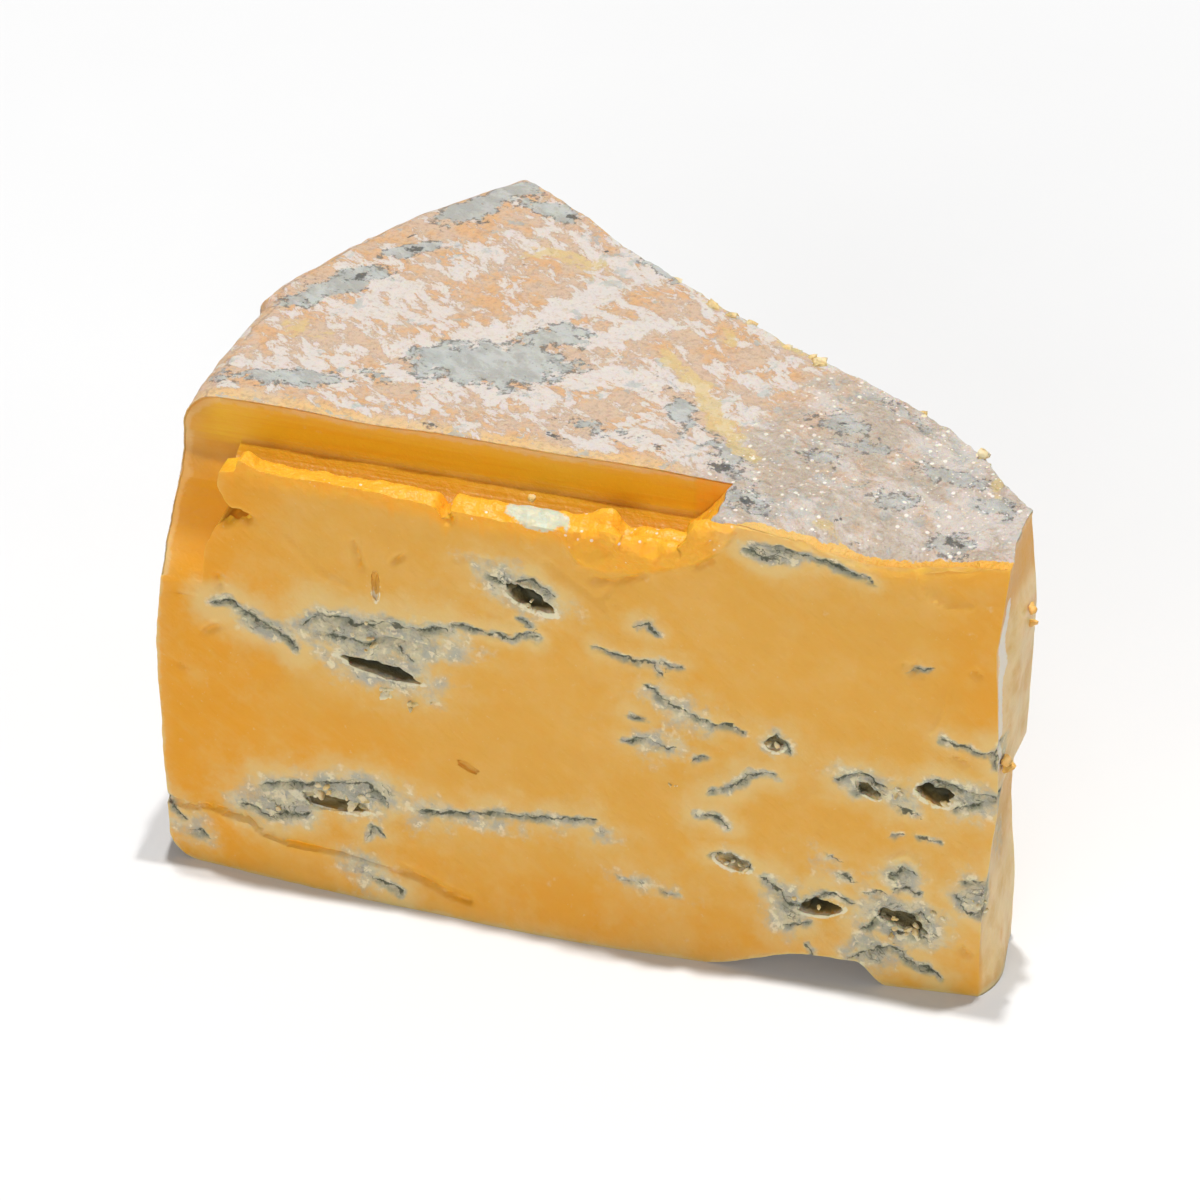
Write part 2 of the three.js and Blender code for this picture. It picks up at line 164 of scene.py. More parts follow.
# Mould veins of the shown cut: darkness, paleness, reach of the pale halo, and points as x and z
VEINS = [
    (0.95, 0.9, 1.7, [(-105.5, 35), (-103.5, 35.4), (-100.7, 33.9), (-97.7, 32), (-96.3, 30.6)]),
    (1.0, 0.9, 2.2, [(-95, 34.4), (-92.9, 35.8), (-89, 35.3), (-84.6, 35.9), (-79, 36.1)]),
    (0.93, 0.9, 2.0, [(-92.2, 33.6), (-89.4, 33.1), (-87.5, 33)]),
    (0.88, 0.8, 1.6, [(-84.7, 33.4), (-82.6, 31.7)]),
    (1.0, 0.85, 1.8, [(-100.3, 11.7), (-95.9, 12.3), (-92.1, 13.8), (-88.2, 14.3), (-86.1, 12.1)]),
    (0.93, 0.9, 1.8, [(-102.3, 8.3), (-98.9, 7.7), (-95.2, 9)]),
    (0.94, 0.6, 1.6, [(-81.5, 11.7), (-77, 12.8), (-72.5, 13.7), (-65.4, 14.1), (-62.1, 14.8)]),
    (0.92, 0.6, 1.2, [(-88.4, 7.3), (-87.3, 8.8), (-86, 8.1)]),
    (1.0, 0.7, 1.5, [(-86.8, 2.9), (-85.1, 2.1), (-83.8, 1.5)]),
    (0.96, 0.6, 1.6, [(-112.1, 7.5), (-109.8, 5.3)]),
    (1.0, 0.6, 1.3, [(-108.5, 3.7), (-107.3, 3.3)]),
    (0.95, 0.8, 1.5, [(-73.5, 44.8), (-71.2, 43.4)]),
    (0.97, 0.8, 1.4, [(-70.3, 44.7), (-68.9, 44.9), (-66.4, 43.3)]),
    (0.95, 0.7, 1.2, [(-78, 37.3), (-74.8, 37.4), (-71.3, 37.1), (-68.2, 37.9)]),
    (0.88, 0.6, 1.1, [(-70.1, 39.9), (-68.5, 38.9)]),
    (1.0, 0.55, 1.2, [(-61.3, 38), (-58.3, 37), (-55.1, 37), (-54.4, 35.8)]),
    (0.9, 0.5, 1.2, [(-54.4, 37.4), (-52.1, 37)]),
    (0.9, 0.6, 1.2, [(-56.9, 41.7), (-55.8, 41.9), (-54.7, 41)]),
    (1.0, 0.9, 1.3, [(-44.9, 53.6), (-43.2, 53.2), (-41.6, 52.8)]),
    (0.97, 0.7, 1.0, [(-41.6, 54.5), (-38.8, 54), (-34.3, 53), (-31.2, 52.1)]),
    (0.92, 0.3, 0.8, [(-26.1, 41.9), (-24.1, 42.6)]),
    (0.97, 0.6, 1.4, [(-55.5, 33.6), (-53.4, 32.1), (-51.3, 31), (-48.5, 29.9)]),
    (0.95, 0.5, 1.2, [(-47.6, 30.2), (-45.1, 29.8)]),
    (0.9, 0.6, 1.2, [(-57.9, 29.5), (-56.2, 29.4)]),
    (0.96, 0.6, 1.3, [(-58.7, 26.1), (-55.9, 26.6), (-52.9, 26.1)]),
    (0.9, 0.5, 1.1, [(-50.2, 25), (-49.2, 25.7)]),
    (0.95, 0.7, 1.4, [(-48.3, 21.2), (-45.9, 22.4), (-45.2, 23.2), (-43.9, 25), (-41.3, 24.8)]),
    (0.92, 0.7, 1.5, [(-50.1, 18.1), (-48.2, 18.3), (-46.6, 17.4)]),
    (0.95, 0.7, 1.2, [(-48, 13.1), (-45.5, 13.4), (-44.1, 12.6)]),
    (0.86, 0.4, 1.2, [(-58.4, 8.3), (-57, 8.1)]),
    (0.88, 0.45, 1.2, [(-53.9, 7.5), (-52, 7.2)]),
    (0.93, 0.5, 1.0, [(-42.2, 29.5), (-41.2, 30.1), (-40, 29.3), (-39.9, 28.5)]),
    (1.0, 0.9, 1.6, [(-42.2, 11.3), (-40.1, 9.9), (-39.5, 8.4), (-37.9, 8.5), (-35.7, 10.7)]),
    (0.94, 0.7, 1.3, [(-35.7, 10.7), (-32.5, 10.2)]),
    (0.92, 0.7, 1.3, [(-39.2, 5.9), (-36.9, 6.8)]),
    (0.92, 0.5, 1.1, [(-34.9, 15.5), (-34, 15.1)]),
    (0.92, 0.5, 1.1, [(-33.7, 13.3), (-32.5, 13)]),
    (0.96, 0.7, 1.1, [(-30.7, 11.7), (-28.8, 11.5)]),
    (0.98, 0.85, 1.3, [(-34.5, 26), (-31.5, 27.1), (-29, 25.9)]),
    (0.94, 0.7, 1.1, [(-32.1, 24.7), (-29.4, 24.7)]),
    (0.96, 0.6, 1.1, [(-27.5, 23.7), (-25.5, 22.8)]),
    (0.98, 0.85, 1.4, [(-24.9, 26.4), (-23.3, 27.8), (-20.8, 27.5), (-18, 26.8), (-15.5, 26.8)]),
    (0.96, 0.8, 1.2, [(-20.9, 24.6), (-17.1, 26.4)]),
    (1.0, 0.5, 1.2, [(-22.6, 33.6), (-19.1, 32.6), (-17.5, 32.7), (-16, 33.9)]),
    (0.92, 0.8, 1.6, [(-16.9, 32.7), (-16.6, 31.1)]),
    (0.92, 0.6, 1.2, [(-19.8, 15.4), (-17.9, 15.6)]),
    (0.97, 0.9, 1.5, [(-20.2, 13.3), (-19.4, 11.8), (-17.8, 11.3), (-16.3, 13), (-15.5, 17.8)]),
    (1.0, 0.95, 1.7, [(-30.5, 7.2), (-28.3, 9.2), (-24.6, 10.2), (-23.5, 9.1)]),
    (0.97, 0.9, 1.4, [(-27.8, 7.2), (-24.1, 6.8)]),
    (0.93, 0.85, 1.3, [(-28, 14.4), (-26.6, 15.5), (-25.7, 15.1)]),
    (0.95, 0.8, 1.2, [(-27.5, 12.6), (-25.9, 13.2), (-24.9, 12.6)]),
    (1.0, 0.8, 1.3, [(-31.9, 3.3), (-28.1, 5), (-26.7, 4.7), (-25.1, 3.4), (-21.9, 2.1)]),
    (0.9, 0.4, 0.9, [(-27.9, 19.7), (-26.8, 20)]),
    (0.9, 0.4, 0.9, [(-24.7, 20.3), (-22.9, 19.9)]),
    (0.9, 0.5, 1.1, [(-36.8, 4.3), (-36, 2.9)]),
]
VEIN_REACH = 2.0
VEIN_SIDE = 2.0
HAZE_REACH = 1.9
MOULD_REACH = 0.55
CRUST_DEPTH = 6.0
# Patches of pale mould among them: strength, middle x and z, length, height and tilt
VEIN_PATCHES = [
    (0.95, -100, 33, 7, 3, -20), (1.0, -87.5, 34, 17, 4.6, 3), (0.8, -86.5, 30, 12, 5, -11),
    (0.9, -98.5, 9.7, 9, 5, 5), (0.95, -90.5, 12.6, 11, 4.4, 4), (0.5, -82, 12, 9, 4.5, 0),
    (0.55, -75, 12.4, 15, 3, 5), (0.6, -60.8, 13.3, 3.6, 2, 0), (0.6, -88.2, 3.4, 6, 3.4, -20),
    (0.5, -109, 4.6, 7, 4.4, -30), (0.75, -70.2, 43.5, 10, 4.4, -20), (0.95, -42, 53.6, 6, 2, -8),
    (0.75, -39.6, 8, 4.5, 6, 30), (0.85, -31.2, 26, 7, 3.2, -8), (0.7, -27.6, 24.6, 4, 4, -40),
    (0.8, -19.2, 25.8, 6.5, 4, 5), (1.0, -26.6, 8.6, 9, 5, -8), (0.85, -29.9, 4.1, 5, 3.2, -20),
    (0.85, -26.8, 14.4, 4, 3.6, 0), (0.8, -18.4, 13.8, 4.6, 5.4, 0), (0.5, -46, 12.6, 5, 3, -12),
    (0.5, -52.5, 31.5, 9, 5, -25), (0.45, -55.5, 26.6, 9, 4, 0), (0.4, -34, 13, 8, 5, -25),
    (0.7, -41.1, 29.3, 3.6, 3, 0), (0.5, -56, 7.9, 9, 2, -8),
]
# The painted highlight down the tip's front edge: strength, width, and points as y and z
TIP_EDGE_HIGHLIGHT = (1.0, 0.7, [(1.9, 51), (1, 47), (1.8, 43.5), (0.8, 41), (0.8, 37), (0.4, 31)])
# The grey slab on the lip, whose height is counted with this share of its depth behind the cut
LEDGE_PLATE = (1.0, -68.6, 53.5, 7.4, 3.4, -10)
PLATE_DEPTH_SHARE = 0.67
BACK_VEINS = {"count": 34, "radius": (24, 106), "z": (4, 52), "length": (3, 11), "seed": 5}

# Creases in the shown cut: depth, width, and points as x and z
CREASES = [
    (0.5, 0.5, [(-83.6, 4.2), (-81.2, 3.7), (-78.4, 2.7), (-75.8, 2.2)]),
    (0.6, 0.35, [(-87.2, 33.3), (-85.6, 34), (-83.8, 33.9)]),
    (0.6, 0.3, [(-95.5, 10.2), (-92, 10.4), (-88.7, 11.2)]),
    (0.9, 0.45, [(-78.6, 53.2), (-79.4, 52.6), (-78.7, 51.8), (-78.3, 50.8)]),
    (0.5, 0.4, [(-62, 46.4), (-59.7, 46.7), (-57.6, 47.5), (-56.2, 48.3)]),
    (0.3, 0.4, [(-60.8, 44.4), (-60.1, 45.6)]),
    (0.5, 0.4, [(-89.2, 46), (-88.7, 44.2), (-88.4, 42.9)]),
    (0.9, 0.5, [(-104, 46), (-102.6, 47.2), (-101.3, 46.8)]),
    (0.5, 0.4, [(-105.2, 38.6), (-105, 37.2)]),
    (0.5, 0.35, [(-84.7, 44.3), (-83.6, 45.2)]),
    (0.5, 0.4, [(-106.8, 30.8), (-105.4, 31.8)]),
    (0.25, 0.3, [(-67.3, 47.9), (-63.9, 45.5), (-60.4, 43.2)]),
    (0.2, 0.3, [(-77.9, 46.1), (-75.5, 46.8), (-73.1, 46.6)]),
    (0.5, 0.35, [(-50.4, 50.4), (-48.7, 51.6)]),
    (0.5, 0.4, [(-19.8, 6.2), (-19, 5.4)]),
    (0.4, 0.35, [(-21.4, 31.4), (-20, 30.8)]),
    (0.4, 0.35, [(-19.5, 42.9), (-18.8, 42.4)]),
    (0.35, 0.35, [(-27, 42.4), (-25.2, 41.5)]),
    (0.35, 0.3, [(-26.4, 41.2), (-25.8, 42.8)]),
    (0.3, 0.3, [(-110, 26), (-109.2, 25.4)]),
]
# Raised flakes: height, width and points
FLAKES = [
    (0.3, 0.4, [(-26.7, 55.8), (-25.6, 53.2), (-24.6, 51.4), (-22.6, 50.6), (-20, 51)]),
    (0.3, 0.3, [(-22.3, 40), (-22.6, 36.6), (-23.8, 34.3)]),
    (0.55, 0.8, [(-59.2, 52.3), (-57.2, 50.9), (-54.9, 51.1), (-51.7, 53), (-49.2, 55.2)]),
    (0.3, 0.35, [(-28, 16.4), (-26.4, 17.6), (-25, 16.8), (-24.4, 14.6)]),
    (0.25, 0.4, [(-97, 45), (-93, 41), (-90, 40)]),
]

# Where the top rind is moist, brimmed and bare along the cut: from none to all of it, by x
MOIST_X = (-66, -46)
BRIM_END_X = (-60, -50)
BARE_X = (-48, -44)
# Its patches and spots: strength, middle x and y, length, width and tilt
GREY_PATCHES = [
    (1.1, -80.8, 23, 15, 7.4, 12), (0.9, -75.6, 30, 8, 4.6, 30), (0.9, -106, 29, 4, 3, 0),
    (1.0, -101.6, 34.6, 10, 4, 50), (0.9, -96.6, 44, 6, 3, 40), (1.0, -92.8, 54, 9, 4.4, 55),
    (1.0, -89.4, 59, 7, 3.4, 40), (0.9, -84, 55.8, 8, 3, -20), (0.9, -68.4, 47.8, 8, 2.6, -38),
    (0.9, -100.8, 13.8, 11, 3.6, 14), (0.7, -108.4, 12, 3, 4, 0), (0.7, -92, 17, 7, 2.4, -20),
    (0.8, -40.4, 22, 7, 4.4, -10), (0.8, -41, 15.2, 5, 3, -20), (0.8, -36.6, 18.6, 6, 2.4, 0),
    (0.9, -26, 15.6, 9, 3, -10), (0.9, -20, 11.4, 4, 3, -30), (0.8, -50, 12.6, 9, 4, -50),
    (0.8, -46.6, 5, 6, 3, -20), (1.0, -23.6, 4, 5, 4, -30), (0.7, -58, 20, 9, 4, -50),
    (0.7, -31, 10, 8, 3.4, -10), (0.6, -66, 14, 10, 3, -10), (0.7, -34.4, 26.6, 8, 2.4, -38),
]
DARK_SPOTS = [
    (1.0, -100.4, 36.3, 4.4, 1.6, 50), (1.0, -96.5, 43.8, 2.6, 1.6, 20),
    (0.9, -104.7, 29.4, 2.4, 1.2, 60), (1.0, -83.5, 9, 2.8, 1.2, -10),
    (1.0, -69.6, 11.4, 3.2, 1.2, -15), (1.1, -50.9, 10.3, 4.2, 2, -15),
    (0.9, -91, 51.4, 2, 1.2, 40), (1.0, -81.2, 55.2, 3, 1.4, -20), (0.9, -75.8, 49.8, 1.6, 1, 0),
    (0.8, -62.2, 25.7, 1.6, 1.2, 0), (1.0, -46.3, 5, 3, 1.4, -30), (1.1, -23.2, 4.6, 2.6, 2, -30),
    (1.0, -27.8, 0.8, 2.2, 1, 0), (0.8, -86.1, 42.7, 1.2, 0.9, 0), (0.8, -83.4, 43.8, 1.4, 0.8, 0),
    (0.9, -83, 25.6, 5, 0.5, 12), (0.9, -79.4, 20, 3, 0.6, 14), (0.8, -58.4, 11.6, 2.4, 1.2, -20),
    (0.9, -100, 13, 4, 0.8, 14), (0.8, -40.6, 21.8, 1.8, 1, 0), (0.8, -33.6, 2.6, 1.8, 1, 0),
    (0.9, -97.6, 47, 3, 0.6, 60), (0.9, -36, 5.2, 1.6, 1, 0), (0.9, -18.6, 12.2, 1.6, 1.4, 0),
]
# Its streaks: strength, width, and points as x and y
WHITE_STREAKS = [
    (1.0, 1.2, [(-87, 22), (-85.1, 25.6), (-80.6, 30.9), (-76.8, 34.9), (-73.8, 40.7)]),
    (0.4, 3.0, [(-103, 17), (-97, 25), (-92, 34)]),
    (0.9, 1.3, [(-71, 31), (-69.7, 32.3), (-66.9, 35.6), (-64.7, 35.8)]),
    (0.8, 1.2, [(-88, 18), (-84, 17.4), (-78, 17.6)]),
    (1.0, 2.4, [(-22.4, 8.4), (-19.6, 8), (-17.2, 7.4)]),
    (0.8, 1.6, [(-30.6, 21.4), (-27.8, 20.4)]),
    (0.7, 1.8, [(-42, 26), (-39, 23.6)]),
    (0.7, 1.6, [(-34, 13.4), (-31, 12)]),
]
GOLD_STREAKS = [
    (1.0, 1.3, [(-62.6, 30.4), (-60.6, 28), (-57.2, 25), (-54.6, 20.6), (-51.6, 16.6), (-48, 13.4)]),
    (0.9, 1.6, [(-66, 48), (-62, 44.8), (-59.4, 42)]),
    (0.9, 1.4, [(-51, 36.6), (-49.4, 35.6)]),
    (0.8, 1.2, [(-57.4, 37.4), (-56.6, 34.4)]),
    (0.8, 1.0, [(-21.6, 16), (-21, 13.6)]),
    (0.7, 2.2, [(-104.6, 24.4), (-101.6, 24)]),
    (0.8, 2.6, [(-82, 47), (-76, 46)]),
    (0.7, 1.6, [(-38, 4), (-35, 2.6)]),
]

# Crumbs: middle x and z on the shown cut, spread, number and size
CURDS = [
    (-85.4, 27, 1.4, 5, 0.75), (-82.4, 25.8, 1.3, 6, 0.6), (-91.6, 12, 2.4, 8, 0.85),
    (-28.2, 25.3, 0.9, 5, 0.8), (-25.6, 7.6, 2.2, 9, 0.8), (-17.6, 12.6, 0.9, 5, 0.6),
    (-45.8, 12.4, 1.1, 4, 0.6), (-69.4, 41.8, 1.6, 5, 0.5), (-21.4, 25.2, 1, 4, 0.6),
    (-98.6, 9.2, 2.2, 7, 0.45), (-88, 34.2, 4.4, 9, 0.5), (-23, 10.4, 0.8, 3, 0.7),
    (-37.6, 9.4, 1.6, 4, 0.5), (-41.4, 28.7, 0.5, 2, 0.6), (-52.4, 21.6, 1.1, 5, 0.3),
]
# The crumb on the ledge and the drops on the tip: middle and size
LEDGE_CRUMB = (-69.9, 3.4, 53.3, 1.1)
DROPS = [(-15.9, 1.5, 31, 1.3), (-15.8, 1.7, 30.1, 1.2), (-15.2, 7.8, 47, 1.1), (-15.4, 8.4, 44.6, 0.9)]


def linear(red, green, blue):
    """The linear values of a colour named by its screen values from 0 to 255."""
    shares = (red / 255, green / 255, blue / 255)
    return tuple(c / 12.92 if c <= 0.04045 else ((c + 0.055) / 1.055) ** 2.4 for c in shares)


def length_property(name, description, millimetres):
    return FloatProperty(
        name=name, description=description, default=millimetres * MM, min=0.0, unit="LENGTH",
        precision=5,
    )


def angle_property(name, description, degrees):
    return FloatProperty(
        name=name, description=description, default=math.radians(degrees), subtype="ANGLE"
    )


def colour_property(name, description, screen):
    return FloatVectorProperty(
        name=name, description=description, subtype="COLOR", size=3, min=0.0, max=1.0,
        default=linear(*screen),
    )


class CHEESE_PG_form(bpy.types.PropertyGroup):
    """Sizes of the wedge."""

    wheel_radius: length_property("Wheel radius", "From the wheel's axis to its rind at the cuts", 110.8)
    wheel_height: length_property("Wheel height", "Height of the wheel the wedge was cut from", 56.7)
    wedge_angle: angle_property("Wedge angle", "Angle between the two cuts", 34.8)
    shoulder: length_property("Shoulder", "Rounding between the wheel's flat sides and its rim", 3.4)
    step_depth: length_property("Step depth", "How far the slice taken off the top reaches in", 7.8)
    relief: FloatProperty(
        name="Relief", description="How strong the fine relief is", default=1.0, min=0.0
    )


class CHEESE_PG_colours(bpy.types.PropertyGroup):
    """Colours of the paste, the rind and the moulds."""

    paste: colour_property("Paste", "Middle of the old cut", (221, 165, 66))
    paste_warm: colour_property("Warm paste", "Old cut by its left edge and foot", (225, 155, 28))
    paste_pale: colour_property("Pale paste", "Clouds in the old cut", (224, 178, 98))
    paste_fresh: colour_property("Fresh paste", "Wall of the slice taken off", (229, 177, 36))
    # Also the tone of the painted highlight along the torn skin's upper edge
    paste_lip: colour_property("Lip", "Paste that the knife pushed up", (232, 170, 48))
    # Darker orange of the torn strip: partly its own tone, partly painted shade, as it counts more where
    # it faces up
    strip: colour_property("Strip", "Torn strip by the rim", (186, 122, 8))
    lip_deep: colour_property("Deep lip", "Folds of the lip", (236, 160, 32))
    # Painted shade: laid where the step's floor faces up, to cancel the light from above
    ledge: colour_property("Ledge", "Floor of the slice taken off", (198, 136, 8))
    cream: colour_property("Cream", "Paste next to the rind", (222, 188, 128))
    haze: colour_property("Haze", "Paste round the veins", (222, 192, 126))
    rind_peach: colour_property("Peach rind", "Dry rind", (206, 164, 122))
    rind_tan: colour_property("Tan rind", "Dry rind with a thin bloom", (198, 172, 148))
    rind_mauve: colour_property("Mauve rind", "Moist rind towards the tip", (184, 170, 154))
    rind_brown: colour_property("Brown rind", "Grain, specks and rims of the flakes", (150, 124, 102))
    rind_pale: colour_property("Pale rind", "Thin powder", (196, 182, 170))
    white_mould: colour_property("White mould", "Chalky flakes on the rind", (207, 199, 192))
    grey_mould: colour_property("Grey mould", "Patches on the rind", (158, 162, 158))
    grey_pale: colour_property("Pale grey mould", "Bloom on the patches", (178, 181, 176))
    gold: colour_property("Gold", "Yellow bits of the rind", (206, 180, 122))
    spot: colour_property("Dark spots", "Dark mould on the rind", (84, 82, 78))
    # Painted highlights: glints on the lip and the moist rind, and the streak down the tip's front edge
    glint: colour_property("Glints", "Salt grains and milky smears", (236, 230, 218))
    # Paler milky paste of the tip's face, painted lighter to stand in for the light falling on that side
    tip: colour_property("Tip", "Milky paste of the blunt tip", (252, 226, 174))
    # Fresh paste in creases, over the torn skin and in bare pockets, painted brighter to offset the
    # shade in them
    amber: colour_property("Amber", "Fresh paste deep in a crease", (252, 184, 36))
    film: colour_property("Film", "Bluish film on the step", (192, 198, 178))
    vein_pale: colour_property("Pale mould", "Lightest part of the veins", (204, 196, 166))
    vein_grey: colour_property("Grey mould in the veins", "Shade along the lines", (138, 138, 116))
    # Walls of the open pockets: their mouldy tone, darkened with depth as painted shade
    hollow: colour_property("Hollows", "Walls of the open pockets", (120, 104, 62))
    curd: colour_property("Curd", "Cream rims of the pockets", (226, 216, 184))
    vein_mid: colour_property("Middle of the veins", "Greyer part of the veins", (172, 172, 160))
    # Dark mould of the vein lines, also used as painted shade deep in the pockets
    dark_mould_and_pocket_shade: colour_property("Dark mould", "Lines in the veins", (80, 82, 64))


class CHEESE_PG_stage(bpy.types.PropertyGroup):
    """Camera, floor and lights."""

    view_turn: angle_property("View turn", "How far the camera stands round to the tip's side", 17.0)
    view_rise: angle_property("View rise", "How far the camera looks down", 33.94)
    distance: FloatProperty(
        name="Camera distance", description="From the camera to the point aimed at", default=0.8,
        unit="LENGTH",
    )
    lens: FloatProperty(name="Lens", description="Focal length in millimetres", default=222.4)
    floor_size: FloatProperty(
        name="Floor size", description="Side of the pale floor", default=8.0, unit="LENGTH"
    )
    key: FloatProperty(name="Key light", description="Strength of the light from above", default=3.35)
    key_angle: angle_property("Key width", "How wide the key light looks from the wedge", 1.8)
    fill: FloatProperty(name="Front light", description="Watts of the light before the cut", default=7.0)
    side: FloatProperty(name="Side light", description="Watts of the light by the tip", default=0.6)
    sky: FloatProperty(name="Sky", description="Strength of the even light all round", default=0.2)


def rise(value, start, end):
    """0 before start, 1 after end, and a smooth slope between."""
    share = np.clip((value - start) / (end - start), 0, 1)
    return share * share * (3 - 2 * share)


def fade(value, start, end):
    """1 before start, 0 after end, and a smooth slope between."""
    return 1 - rise(value, start, end)


def between(value, ends):
    """1 between two ends, each of which is a start and an end of its slope."""
    return rise(value, *ends["left"]) * fade(value, *ends["right"])


def lerp(first, second, share):
    return first + (second - first) * share


def bell(distance, width):
    return np.exp(-((distance / width) ** 2))


def through(points, x):
    """Value at x of a line through a few points, each an x and a value, in any order."""
    places, values = zip(*sorted(points))
    return np.interp(x, places, values)


def waves(points, long, seed=0):
    """Smooth noise from about -1 to 1 at each point. Its waves are this long, one length or three."""
    scaled = points / np.asarray(long, float) + 17.3 * seed + 0.37
    return np.fromiter(map(noise.noise, scaled.tolist()), float, len(points))


def layered(points, layers, seed=0):
    """Sum of several waves, each given by its height and length."""
    return sum(high * waves(points, long, seed + i) for i, (high, long) in enumerate(layers))


def columns(*coordinates):
    """An array of points from their two or three coordinates, any of which may be one number."""
    return np.stack(np.broadcast_arrays(*(np.asarray(c, float) for c in coordinates)), axis=1)


def at(function, *numbers):
    """The value of a function of arrays for single numbers."""
    return float(function(*(np.array([number], float) for number in numbers))[0])


def to_line(points, line):
    """Distance of each flat point to a line through a few points, negative below the line."""
    nearest = np.full(len(points), np.inf)
    below = np.zeros(len(points))
    for start, end in zip(np.array(line[:-1], float), np.array(line[1:], float)):
        along = end - start
        share = np.clip((points - start) @ along / (along @ along), 0, 1)
        apart = points - start - share[:, None] * along
        distance = np.hypot(*apart.T)
        closer = distance < nearest
        nearest = np.where(closer, distance, nearest)
        below = np.where(closer, along[0] * apart[:, 1] - along[1] * apart[:, 0], below)
    return np.where(below < 0, -nearest, nearest)


def in_ellipse(points, x, y, length, width, tilt):
    """Flat points along and across a tilted ellipse, as shares of its half length and half width."""
    turn = math.radians(tilt)
    across, up = points[:, 0] - x, points[:, 1] - y
    along = (across * math.cos(turn) + up * math.sin(turn)) / (length / 2)
    return along, (up * math.cos(turn) - across * math.sin(turn)) / (width / 2)


def patch_field(points, patches):
    """Highest of the patches at each flat point: its strength in its middle, half of it at its rim."""
    best = np.zeros(len(points))
    for strength, *ellipse in patches:
        best = np.maximum(best, strength * (1 - 0.5 * np.hypot(*in_ellipse(points, *ellipse))))
    return best


def streak_field(points, streaks):
    """Highest of the streaks at each flat point."""
    best = np.zeros(len(points))
    for strength, width, line in streaks:
        best = np.maximum(best, strength * (1 - 0.5 * abs(to_line(points, line)) / width))
    return best


